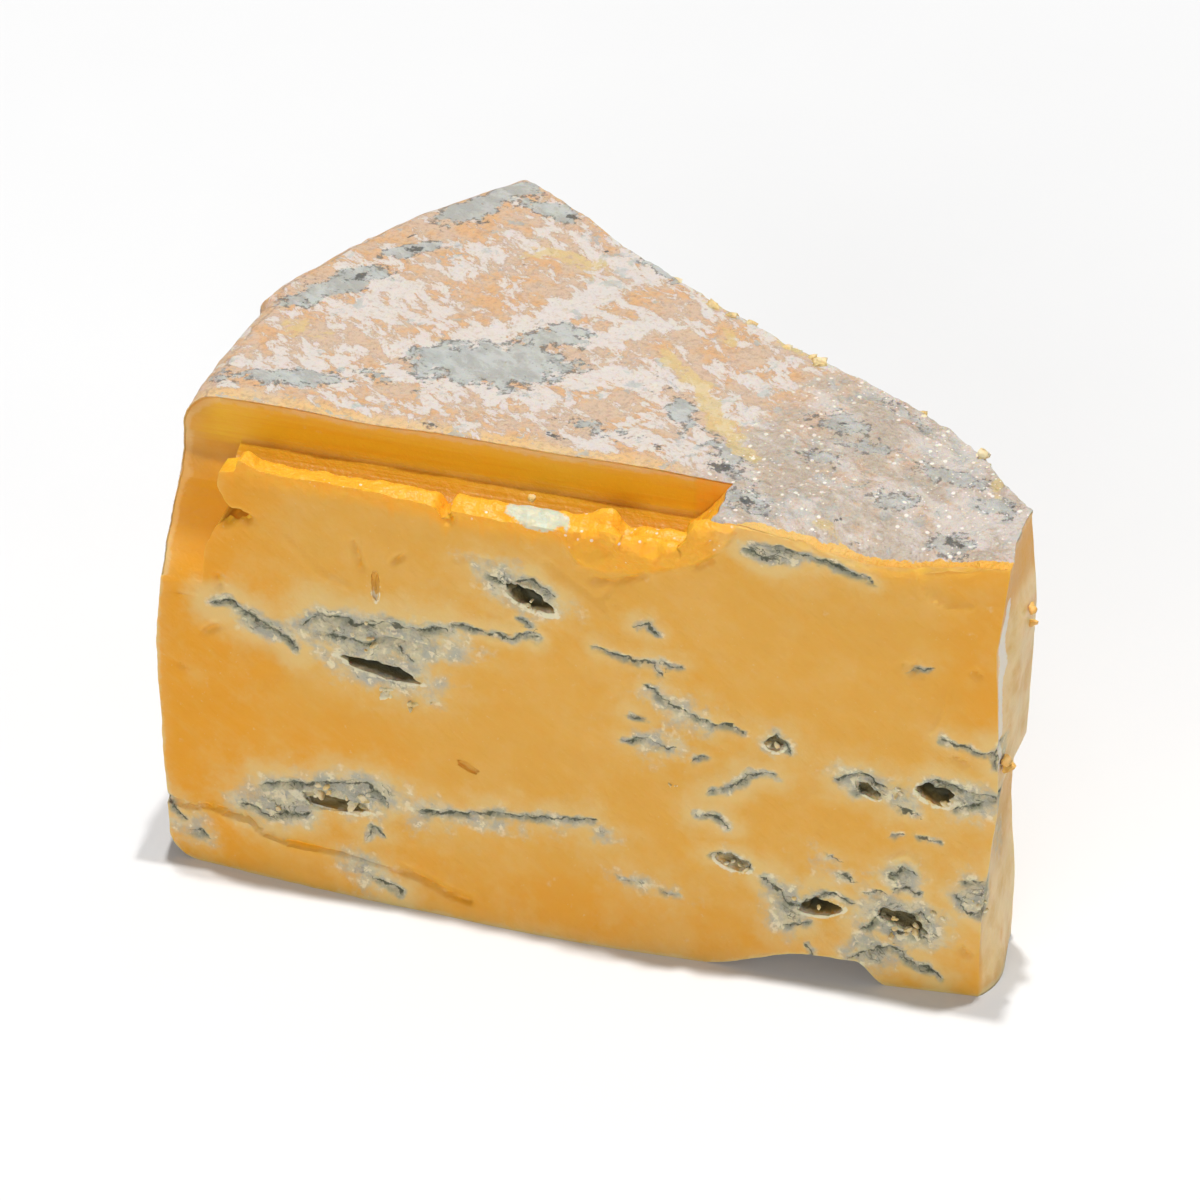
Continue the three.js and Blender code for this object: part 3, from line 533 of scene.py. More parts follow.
class WedgeForm:
    """The wedge's faces in millimetres from the wheel's axis, for whole arrays of points."""

    def __init__(self, sizes):
        self.radius = sizes.wheel_radius / MM
        self.height = sizes.wheel_height / MM
        self.angle = sizes.wedge_angle
        self.shoulder = sizes.shoulder / MM
        self.step_depth = sizes.step_depth / MM

    def flap_edge(self, x):
        """Height of the torn skin's upper edge, and how much of its thickness is there."""
        share = np.clip((x - FLAP["left"]) / (FLAP["right"] - FLAP["left"]), 0, 1)
        torn = layered(columns(x, 0, 0), FLAP_WAVES, 3) * (1 - share)
        return through(FLAP_EDGE, x) + torn, 1 - share ** 3

    def cut_y(self, x, z):
        """The shown cut, towards +Y: its flared foot, its torn skin and its waves."""
        along = np.clip((x + self.radius) / (self.radius - TIP_FRONT[0][1]), 0, 1)
        flare = -FOOT_FLARE["out"] * np.exp(-z / FOOT_FLARE["fade"]) * np.sin(np.pi * along)
        edge, left = self.flap_edge(x)
        thick = FLAP["proud"] * (1 + 0.4 * waves(columns(x, 0, z), 2.4, 8))
        flap = -thick * left * fade(z, edge + 0.05, edge + FLAP_STEP)
        flap += FLAP["groove"] * left * bell(z - edge - FLAP_STEP, 0.2)
        high, long = CUT_WAVE
        return flare + flap + high * waves(columns(x, 0, z), long)

    def layer_height(self, t, x):
        """Height at a share t of the way up: the lowest rows follow the torn skin's edge."""
        edge, _ = self.flap_edge(x)
        side = self.height - self.shoulder
        foot, fold = FOOT_LAYERS / LAYERS, (FOOT_LAYERS + 1) / LAYERS
        over = 1 - SHOULDER_LAYERS / LAYERS
        z = lerp(edge + FLAP_STEP, side, np.clip((t - fold) / (over - fold), 0, 1))
        z += self.shoulder * np.sin(np.clip((t - over) / (1 - over), 0, 1) * np.pi / 2)
        z = np.where(t < fold, edge + FLAP_STEP * (t - foot) / (fold - foot), z)
        return np.where(t < foot, edge * t / foot, z)

    def rind_radius(self, angle, z):
        """How far the rind is from the axis."""
        swell = RIND_SWELL * np.sin(np.pi * angle / self.angle)
        belly = BELLY["out"] * bell(z - BELLY["z"], BELLY["reach"])
        swell -= RIM_STEP["in"] * rise(angle, 0, RIM_STEP["from"]) * (angle < RIM_STEP["to"])
        high, long = RIM_WAVE
        return self.radius + swell + belly + high * waves(columns(angle * self.radius, 0, z), long)

    def tip_distance(self, z, v):
        """How far the blunt tip is from the axis, at a height and a share v of the way across."""
        side = lerp(through(TIP_FRONT, z), through(TIP_BACK, z), rise(v, 0, 0.6))
        return side - TIP_FOOT["out"] * np.sin(np.pi * v ** 0.7) * fade(z, 0, TIP_FOOT["z"])

    def back_angle(self, radius):
        """The angle of the back cut at a distance from the axis, with its bow."""
        reach = np.where(radius < BACK_BOW["radius"], BACK_BOW["inwards"], BACK_BOW["outwards"])
        return self.angle + BACK_BOW["angle"] * bell(radius - BACK_BOW["radius"], reach)

    def top_z(self, x, y):
        """Height of the top rind, which sags towards the cut near the tip."""
        sag = bell(x - TOP_DROOP["x"], TOP_DROOP["along"])
        sag *= bell(y - TOP_DROOP["y"], TOP_DROOP["across"])
        high, long = TOP_WAVE
        return self.height - TOP_DROOP["depth"] * sag + high * waves(columns(x, y, 0), long)

    def base_z(self, x, y):
        """Height of the base: flat, but for a hollow under the front edge near the tip."""
        along = rise(x, NOTCH["left"], NOTCH["rise"]) * fade(x, NOTCH["fall"], NOTCH["right"])
        return NOTCH["height"] * along * bell(np.maximum(0, y), NOTCH["across"])

    def place(self, unit):
        """Where points of a unit box go: u from rind to tip, v from the shown cut back, t upwards."""
        u, v, t = unit.T
        first = v * self.angle
        z = self.layer_height(t, -lerp(self.radius, TIP_FRONT[0][1], u))
        near = self.tip_distance(z, v) / np.cos(first)
        rim = self.rind_radius(first, z)
        radius = lerp(rim, near, u)
        angle = v * self.back_angle(radius)

        inner = rim - self.shoulder
        out = (radius - inner) / self.shoulder
        middle = self.height / 2
        over = (abs(z - middle) - middle + self.shoulder) / self.shoulder
        turning = (out > 0) & (over > 0)
        reach = np.where(turning, np.hypot(out, over), 1)
        shrink = np.where(turning, np.maximum(out, over) / reach, 1)
        radius = inner + out * shrink * self.shoulder
        z = z + np.sign(z - middle) * over * (shrink - 1) * self.shoulder

        x = -radius * np.cos(angle)
        y = radius * np.sin(angle) + self.cut_y(x, z) * (1 - v) ** 2
        high, long = CUT_WAVE
        y += np.where(v > 0.999, high * waves(columns(x, self.height, z), long), 0)
        return columns(x, y, lerp(self.base_z(x, y), self.top_z(x, y), z / self.height))

    def step_floor_z(self, x, y):
        """Height of the step's floor, with its lip, the lip's crack and curl, and the end wall."""
        front = lerp(LIP_FRONT["share"], 1, rise(-x, LIP_FRONT["start"], LIP_FRONT["end"]))
        bead = lerp(front, 1, rise(y, -0.4, LIP_CREST_Y)) * fade(y, LIP_CREST_Y + 0.3, LIP_BACK_Y)
        end_lump = LIP_END["rise"] * bell(x - LIP_END["x"], LIP_END["width"])
        gap = LIP_GAP["depth"] * bell(x - LIP_GAP["x"], LIP_GAP["width"])
        dip = LIP_DIP["depth"] * bell(x - LIP_DIP["x"], LIP_DIP["width"])
        side = np.where(x < CURL["x"], CURL["width"], CURL["width"] * 0.5)
        curl = CURL["rise"] * bell(x - CURL["x"], side) * bell(y - CURL["y"], 1.3)
        torn = layered(columns(x, y, 0), LIP_WAVES, 5)
        fillet = FILLET["rise"] * np.clip((y - self.step_depth) / FILLET["width"] + 1, 0, 1) ** 2
        end = (self.height - STEP_FLOOR_Z) * (x - STEP_FOOT_X) / (STEP_END_X - STEP_FOOT_X)
        rough_end = end + 0.8 * waves(columns(x, y, 0), 2.2, 6) * rise(end, 0, 1)
        floor = STEP_FLOOR_Z + bead * (LIP_RISE + end_lump - gap - dip + torn) + curl + fillet
        return np.maximum(floor, STEP_FLOOR_Z + rough_end)

    def crust_depth(self, points):
        """How deep each point lies under the rind, on the top, the rim and the base."""
        x, y, z = points.T
        angle = np.clip(np.arctan2(y, -x), 0, self.angle)
        low, high = self.base_z(x, y), self.top_z(x, y)
        level = (z - low) / (high - low) * self.height
        out = np.hypot(x, y) - (self.rind_radius(angle, level) - self.shoulder)
        middle = self.height / 2
        over = abs(level - middle) - (middle - self.shoulder)
        corner = np.hypot(np.maximum(out, 0), np.maximum(over, 0))
        return self.shoulder - corner - np.minimum(np.maximum(out, over), 0)


def box_mesh(cuts, mapping, finer=None):
    """A bmesh box with that many rows each way, each corner of which goes where a mapping puts it.

    finer tells, for the coordinates of a face's middle, whether the face is divided once more.
    """
    bm = bmesh.new()
    bmesh.ops.create_cube(bm, size=1.0, matrix=Matrix.Translation((0.5, 0.5, 0.5)))
    for axis, rows in enumerate(cuts):
        edges = [e for e in bm.edges if abs(e.verts[0].co[axis] - e.verts[1].co[axis]) > 1e-6]
        if rows > 1:
            bmesh.ops.subdivide_edges(bm, edges=edges, cuts=rows - 1, use_grid_fill=True)
    if finer:
        edges = {e for f in bm.faces if finer(f.calc_center_median()) for e in f.edges}
        bmesh.ops.subdivide_edges(bm, edges=list(edges), cuts=1, use_grid_fill=True)
    bmesh.ops.triangulate(bm, faces=bm.faces[:])
    unit = np.array([v.co for v in bm.verts], float)
    for vertex, place in zip(bm.verts, mapping(unit)):
        vertex.co = place
    bmesh.ops.recalc_face_normals(bm, faces=bm.faces[:])
    return bm


def add_object(name, data):
    made = bpy.data.objects.new(name, data)
    bpy.context.scene.collection.objects.link(made)
    return made


def to_object(bm, name):
    """A new object in the scene that holds a bmesh's faces."""
    mesh = bpy.data.meshes.new(name)
    bm.to_mesh(mesh)
    bm.free()
    return add_object(name, mesh)


def step_cutters(form):
    """What was cut away over the step's floor, and left of the torn edge."""
    left, right, front, over = STEP_LEFT_X, -46, -6, 64

    def step(unit):
        u, v, t = unit.T
        x = lerp(left, right, u)
        y = lerp(-1, form.step_depth, v)
        z = lerp(form.step_floor_z(x, y), over, t)
        return columns(x, np.where(v == 0, front, y), z)

    low = STRIP_FADE_Z[0] - 2

    def strip(unit):
        u, v, t = unit.T
        z = lerp(low, over, t)
        depth = form.step_depth * rise(z, *STRIP_FADE_Z) ** 1.6 - 0.25 * fade(z, low, low + 6)
        side = through(TORN_EDGE, z) + 0.35 * waves(columns(z, 0, 0), 0.9, 4)
        return columns(np.where(u == 0, -130, side), np.where(v == 0, front, depth), z)

    return [box_mesh((190, 26, 12), step), box_mesh((1, 1, 70), strip)]


def turn_round(bm, angle, axis):
    """Turns a bmesh about an axis through the origin."""
    bmesh.ops.rotate(bm, cent=(0, 0, 0), matrix=Matrix.Rotation(angle, 3, axis), verts=bm.verts)


def pocket(length, height, depth, tilt, number):
    """A ragged, flattened blob that cuts a pocket, lying in the plane y = 0."""
    bm = bmesh.new()
    bmesh.ops.create_icosphere(bm, subdivisions=4, radius=1.0)
    points = np.array([v.co for v in bm.verts], float)
    points *= (1 + layered(points + [number, 0, 0], POCKET_WAVES, 1))[:, None]
    for vertex, point in zip(bm.verts, points):
        vertex.co = point
    bmesh.ops.scale(bm, vec=(length / 2, depth, height / 2), verts=bm.verts)
    turn_round(bm, math.radians(-tilt), "Y")
    return bm


def back_pockets():
    """Pockets of the cut that faces away, as in POCKETS, spread evenly by two steps."""
    made = []
    for i in range(1, BACK_POCKETS["count"] + 1):
        along, up = i * STEP_ALONG % 1, i * STEP_UP % 1
        shares = {"radius": along, "z": up, "length": up, "height": along, "depth": up}
        radius, *others = (lerp(*BACK_POCKETS[key], share) for key, share in shares.items())
        made.append((-radius, *others, 20 - 40 * up))
    return made


def back_patches(longer, higher):
    """Patches as large as the back cut's pockets, and by so much longer and higher."""
    return [
        (1.0, x, z, length + longer, height + higher, tilt)
        for x, z, length, height, _, tilt in back_pockets()
    ]


def pocket_cutters(form):
    """The pockets of the shown cut, then those of the back cut."""
    made = []
    for number, (x, z, length, height, depth, tilt) in enumerate(POCKETS):
        bm = pocket(length, height, depth, tilt, number)
        bmesh.ops.translate(bm, vec=(x, at(form.cut_y, x, z), z), verts=bm.verts)
        made.append(bm)
    for number, (x, z, length, height, depth, tilt) in enumerate(back_pockets(), len(POCKETS)):
        bm = pocket(length, height, depth, tilt, number)
        turn_round(bm, -form.angle, "Z")
        angle = at(form.back_angle, -x)
        bmesh.ops.translate(bm, vec=(x * math.cos(angle), -x * math.sin(angle), z), verts=bm.verts)
        made.append(bm)
    return made


def cut_away(body, cutters):
    """Takes all the cutters off the body, and keeps the result as its mesh."""
    tools = bpy.data.collections.new("cutters")
    bpy.context.scene.collection.children.link(tools)
    for number, bm in enumerate(cutters):
        cutter = to_object(bm, f"cutter_{number}")
        bpy.context.scene.collection.objects.unlink(cutter)
        tools.objects.link(cutter)
    cut = body.modifiers.new("cut", "BOOLEAN")
    cut.operation = "DIFFERENCE"
    cut.solver = "MANIFOLD"
    cut.operand_type = "COLLECTION"
    cut.collection = tools
    graph = bpy.context.evaluated_depsgraph_get()
    result = bpy.data.meshes.new_from_object(body.evaluated_get(graph))
    body.modifiers.clear()
    old = body.data
    body.data = result
    bpy.data.meshes.remove(old)
    for cutter in list(tools.objects):
        bpy.data.meshes.remove(cutter.data)
    bpy.data.collections.remove(tools)
    if len(result.polygons) < 1000:
        raise RuntimeError("cutting the step and the pockets left no wedge")
    result.name = body.name


def vertex_rows(mesh, name):
    """The places ("co") or the normals ("normal") of a mesh's vertices, a row each."""
    flat = np.empty(len(mesh.vertices) * 3, np.float32)
    mesh.vertices.foreach_get(name, flat)
    return flat.reshape(-1, 3).astype(float)


def back_veins():
    """Short veins of the cut that faces away, in the same form as the shown cut's."""
    draw = random.Random(BACK_VEINS["seed"])
    made = []
    for x, z, length, height, _, tilt in back_pockets():
        reach = length * 0.62
        slope = math.tan(math.radians(tilt))
        over = z + height * 0.5
        line = [(x + i * reach, over + i * reach * slope - abs(i) * 0.5) for i in (-1, 0, 1)]
        made.append((1.0, 0.9, 1.8, line))
    for _ in range(BACK_VEINS["count"]):
        middle = Vector((-draw.uniform(*BACK_VEINS["radius"]), draw.uniform(*BACK_VEINS["z"])))
        length = draw.uniform(*BACK_VEINS["length"])
        slope = draw.gauss(-0.12, 0.3)
        line = []
        for i in range(4):
            along = (i / 3 - 0.5) * length
            line.append((middle.x + along, middle.y + along * slope + draw.uniform(-0.6, 0.6)))
        made.append((draw.uniform(0.9, 1.0), draw.uniform(0.4, 0.9), draw.uniform(1.0, 2.0), line))
    return made


def vein_fields(flat, veins, patches):
    """Of veins at flat points: how near their line is and on which side, their mould and haze."""
    near, side = np.full(len(flat), -np.inf), np.full(len(flat), VEIN_SIDE)
    mould, pale = np.zeros(len(flat)), np.zeros(len(flat))
    for darkness, paleness, reach, line in veins:
        signed = to_line(flat, line)
        distance = abs(signed)
        closer = darkness - distance / VEIN_REACH > near
        near = np.where(closer, darkness - distance / VEIN_REACH, near)
        side = np.where(closer, signed, side)
        pale = np.maximum(pale, paleness * bell(distance, reach * HAZE_REACH))
        mould = np.maximum(mould, (0.35 + 0.4 * paleness) * bell(distance, reach * MOULD_REACH))
    wide = [(s, x, y, length + 3, width + 3, tilt) for s, x, y, length, width, tilt in patches]
    side = 0.5 + np.clip(side / VEIN_SIDE, -1, 1) / 2
    mould = np.maximum(mould, patch_field(flat, patches))
    return np.clip(near, 0, 1), side, mould, np.maximum(pale, patch_field(flat, wide))


def ragged_shift(points, layers, seed):
    """How far noise moves each point, as two columns, so that what follows them is ragged."""
    return columns(*(layered(points, layers, seed + 20 * i) for i in range(2)))


def step_fields(form, points, behind, facing_up, shift):
    """Where the wall, the strip, the ledge, the lip with its ridge and the grey slab are; the strip and
    the ledge count more where they face up, as painted shade.
    """
    x, y, z = points.T
    fields = {}
    in_step = (x > STEP_LEFT_X - 1) & (x < STEP_END_X + 2.5)
    floor = form.step_floor_z(x, np.maximum(y, 0.9))
    fresh = rise(behind, 0.3, 1.0) * in_step * rise(z, floor - 1.2, floor - 0.4)
    strip = rise(behind, 0.6, 3.4) * (x < through(TORN_EDGE, z) + 0.8) * (y < 8.6)
    fields["fresh"] = np.clip(fresh * (y < form.step_depth + 1), 0, 1)
    # The strip's darker tone counts more where it faces up: painted shade against the light from above
    fields["strip"] = strip * (0.3 + 0.7 * rise(facing_up, 0.05, 0.4))
    at_cut = form.step_floor_z(x, np.zeros(len(x)))
    lip_back = fade(y - 4 * rise(x, -54.5, -52.5), 3.3, 4.6)
    lip_ends = between(x, LIP_ENDS) * (x > through(TORN_EDGE, z))
    lip = lip_ends * lip_back * rise(z - at_cut, -3.6, 0.4)
    ridge = rise(z - through(RIDGE_FOOT, x), -0.7, 1.1) * between(x, RIDGE_ENDS)
    near_front = lip_back * (z > 45)
    # Painted shade: the ledge tone darkens the step's floor where it faces up, to cancel the light from
    # above
    fields["ledge"] = fields["fresh"] * rise(facing_up, 0.35, 0.85) * rise(y, 3.2, 4.4)
    fields["ridge"] = ridge * near_front
    fields["lip"] = np.maximum(lip, ridge) * near_front
    seen = columns(x, z + PLATE_DEPTH_SHARE * y)
    fields["plate"] = patch_field(seen + 0.5 * shift, [LEDGE_PLATE]) * near_front
    return fields


def rind_fields(form, points, behind, shift, on_top):
    """Where the top rind's patches, spots, streaks and moist, brimmed and bare parts are."""
    x, y, z = points.T
    fields = {}
    sheet = columns(x, y) + 1.3 * shift
    fields["grey"] = patch_field(sheet, GREY_PATCHES) * on_top
    fields["spot"] = patch_field(columns(x, y) + 0.7 * shift, DARK_SPOTS) * on_top
    fields["chalk"] = streak_field(sheet, WHITE_STREAKS) * on_top
    fields["gold"] = streak_field(sheet, GOLD_STREAKS) * on_top
    fields["moist"] = rise(x - 0.35 * y, *MOIST_X) * on_top
    by_step = y - form.step_depth + 0.9 * shift[:, 0]
    fields["brim"] = on_top * fade(by_step, 0.8, 2.6) * fade(x, *BRIM_END_X)
    fields["bare"] = on_top * fade(behind, 0.9, 2.6) * rise(x, *BARE_X)
    fields["bright"] = fields["bare"] * rise(z - form.top_z(x, y), -3.5, -0.5)
    return fields


def wedge_fields(form, points, facing_up):
    """Named values from 0 to 1 at each point of the cut wedge, which its material and relief read."""
    x, y, z = points.T
    fields = {}
    crust = form.crust_depth(points)
    behind = y - form.cut_y(x, z)
    base_depth = (z - form.base_z(x, y)) * 1.6 + 0.5 * (behind < 0.3)
    crust += 0.5 * (behind < 0.3)
    crust = np.where(base_depth < 5, np.minimum(crust, base_depth), crust)
    fields["crust"] = np.clip(crust / CRUST_DEPTH, 0, 1)
    shift = ragged_shift(points, [(0.55, 2.4), (0.28, 0.9), (0.12, 0.45)], 40)
    angle = np.arctan2(y, -x)
    back = rise(angle, form.angle - 0.16, form.angle - 0.08)
    at_tip = rise(x, *TIP_FACE_X)
    shown = fade(behind, 9, 13)
    shown *= 1 - at_tip * rise(behind + 1.5 * shift[:, 0], 1.2, 4.5)

    front = columns(x, z - 0.12 * behind) + shift
    away = columns(-np.hypot(x, y), z) + shift
    of_front = vein_fields(front, VEINS, VEIN_PATCHES)
    of_back = vein_fields(away, back_veins(), back_patches(3, 2.4))
    names = ("vein", "side", "mould", "haze")
    for name, on_front, on_back in zip(names, of_front, of_back):
        fields[name] = np.where(back > 0.5, on_back, on_front)
        if name != "side":
            fields[name] *= np.maximum(shown, back)

    # Pocket walls darken with depth behind the cut, as painted shade over their mould; the curd rims
    # round them are the paste's own
    hollow, curd = np.zeros(len(points)), np.zeros(len(points))
    for middle_x, middle_z, length, height, depth, tilt in POCKETS:
        along, square = in_ellipse(columns(x, z), middle_x, middle_z, length, height, tilt)
        out = np.sqrt(along ** 2 + square ** 2 + (behind / depth) ** 2)
        hollow = np.maximum(hollow, fade(out, 1.25, 1.6) * np.clip(behind / 2.5, 0, 1))
        rim = (0.4 + 0.3 * (square < 0)) * bell(out - 1.15, 0.3) * (height > 1.4)
        curd = np.maximum(curd, rim * fade(behind, 0.3, 0.9))
    deep = (form.back_angle(-away[:, 0]) - angle) * -away[:, 0]
    inside = rise(patch_field(away, back_patches(1, 1)), 0.3, 0.4)
    hollow = np.maximum(hollow, (back > 0.5) * inside * rise(deep, 0.4, 2.2))
    mouldy = rise(fields["haze"], 0.1, 0.3)
    fields["hollow"], fields["curd"] = hollow * mouldy, curd * mouldy

    fields.update(step_fields(form, points, behind, facing_up, shift))
    # Creases, the groove over the torn skin and bare pocket walls take the amber tone: fresh paste
    # painted brighter to offset their shade
    amber = np.zeros(len(points))
    flat = columns(x, z) + 0.6 * shift
    for depth, width, line in CREASES:
        amber = np.maximum(amber, depth * bell(to_line(flat, line), width))
    edge, left = form.flap_edge(x)
    over_flap = bell(z - edge - FLAP_STEP, 0.24) * left
    # A painted highlight along the upper edge of the torn skin
    rim_light = bell(z - edge + 0.1, 0.45) * left * rise(-x, 84, 92)
    fields["amber"] = np.clip(np.maximum(amber, over_flap) * fade(behind, 1, 2), 0, 1)
    fields["amber"] = np.maximum(fields["amber"], 0.9 * hollow * (1 - mouldy))
    fields["rim_light"] = rim_light * (1 - fields["amber"]) * fade(behind, 1, 2)

    by_rim = fade(form.radius + x, 3, 22)
    low_left = bell(x + 100, 18) * bell(z - 16, 12)
    by_tip = rise(x, -30, -18) * rise(z, 28, 38)
    foot = fade(z, 3, 12)
    fields["warm"] = np.maximum.reduce([by_rim, 0.7 * low_left, 0.55 * by_tip, 0.55 * foot])
    out = np.hypot(x, y) - form.rind_radius(np.clip(angle, 0, form.angle), z)
    fields["rim"] = 1 - np.clip(-out, 0, 8) / 8

    on_top = rise(z, form.height - 8, form.height - 5)
    fields.update(rind_fields(form, points, behind, shift, on_top))
    # A painted highlight down the tip's front edge
    fields["smear"] = streak_field(columns(y, z), [TIP_EDGE_HIGHLIGHT]) * at_tip * rise(behind, 0.1, 0.35)
    # The tip's face is painted paler, also through more haze: partly milky paste, partly painted light
    # for the light falling on that side
    fields["tip"] = at_tip * (1 - on_top) * rise(behind, 0.15, 0.5)
    fields["haze"] = np.maximum(fields["haze"], 0.4 * fields["tip"])
    return {name: np.clip(value, 0, 1).astype(np.float32) for name, value in fields.items()}


def paste_relief(points, fields):
    """How far the paste stands out along its normal, in millimetres."""
    x, y, z = points.T
    mould, vein = fields["mould"], fields["vein"]
    relief = 0.10 * waves(points, 3.2, 2) + 0.045 * waves(points, 1.1, 3)
    smear = waves(columns(x * 0.75 + z * 0.66, y, (z * 0.75 - x * 0.66) * 7), 9, 4)
    relief += 0.05 * smear * fields["warm"]
    relief += 0.1 * waves(columns(x * 9, y, z), 9, 5) * bell(x + 89, 6) * rise(z, 36, 43)
    crumbly = layered(points, [(0.22, 1.3), (0.2, 0.7)], 6)
    relief += crumbly * rise(mould, 0.3, 0.7) - 0.3 * rise(vein, 0.75, 0.95)
    flat = columns(x, z)
    for depth, width, line in CREASES:
        relief -= depth * bell(to_line(flat, line), width)
    for height, width, line in FLAKES:
        relief += height * bell(to_line(flat, line), width)
    lumps = layered(points, [(0.35, 2.6), (0.22, 1.2), (0.1, 0.6)], 9)
    relief += fields["lip"] * 0.6 * lumps + fields["ridge"] * (RIDGE_PROUD + lumps)
    relief += 0.35 * rise(fields["plate"], 0.45, 0.55)
    return relief


def wedge_relief(form, points, fields):
    """Fine relief of every face, in millimetres along the normal."""
    x, y, z = points.T
    crust = fields["crust"] * CRUST_DEPTH
    behind = y - form.cut_y(x, z)
    on_front = fade(behind, 2.5, 4) * (1 - fields["fresh"])
    paste = paste_relief(points, fields)
    wall = 0.05 * waves(columns(x / 26, y / 3, z / 0.62), 1, 12) + 0.08 * waves(points, 5, 13)
    inner = 0.1 * waves(points, 3, 14) - 0.3 * rise(fields["vein"], 0.75, 0.95)
    cut = np.where(fields["fresh"] > 0.5, wall, inner)
    cut = lerp(cut, paste, on_front)
    rind = layered(points, [(0.22, 4.6), (0.12, 1.7), (0.08, 0.8)], 16)
    rind += 0.12 * rise(fields["grey"], 0.45, 0.65) - 0.12 * rise(fields["gold"], 0.5, 0.8)
    rind += fields["moist"] * layered(points, [(0.16, 2.2), (0.12, 1.0)], 22)
    on_rind = fade(crust, 0.15, 0.9)
    relief = lerp(cut, rind, on_rind)
    top_edge = bell(np.hypot(crust, np.maximum(behind, 0)), 1.1) * rise(x, -47, -44) * (z > 40)
    relief += top_edge * (layered(points, [(0.5, 5), (0.3, 2.2), (0.15, 1)], 18) - 0.4)
    return relief * rise(z, 0.15, 1.2)


def build_wedge_mesh(form, relief_share):
    """The cut wedge as an object in millimetres from the wheel's axis, with its fields."""
    edge = 1e-4

    def finer(middle):
        return middle.y < edge or middle.z > 1 - edge or middle.x < edge

    body = to_object(box_mesh((COLUMNS, ACROSS, LAYERS), form.place, finer), "wedge")
    cut_away(body, step_cutters(form) + pocket_cutters(form))
    mesh = body.data
    points = vertex_rows(mesh, "co")
    normals = vertex_rows(mesh, "normal")
    fields = wedge_fields(form, points, normals[:, 2])
    moved = points + normals * (relief_share * wedge_relief(form, points, fields))[:, None]
    mesh.vertices.foreach_set("co", moved.astype(np.float32).ravel())
    for name, values in fields.items():
        attribute = mesh.attributes.new(name, "FLOAT", "POINT")
        attribute.data.foreach_set("value", values)
    mesh.update()
    return body


def into_frame(piece):
    """Moves a piece's mesh from millimetres at the wheel's axis to metres in the part's frame."""
    move = Matrix.Diagonal((MM, MM, MM, 1)) @ Matrix.Translation((*AXIS_PLACE, 0))
    piece.data.transform(move)
    piece.data.update()


def finish_piece(piece, material, smooth_angle):
    """Gives a piece its material and place in the part."""
    piece.data.materials.clear()
    piece.data.materials.append(material)
    piece.data.polygons.foreach_set("use_smooth", [True] * len(piece.data.polygons))
    piece.data.set_sharp_from_angle(angle=smooth_angle)
    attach(piece, BODY)


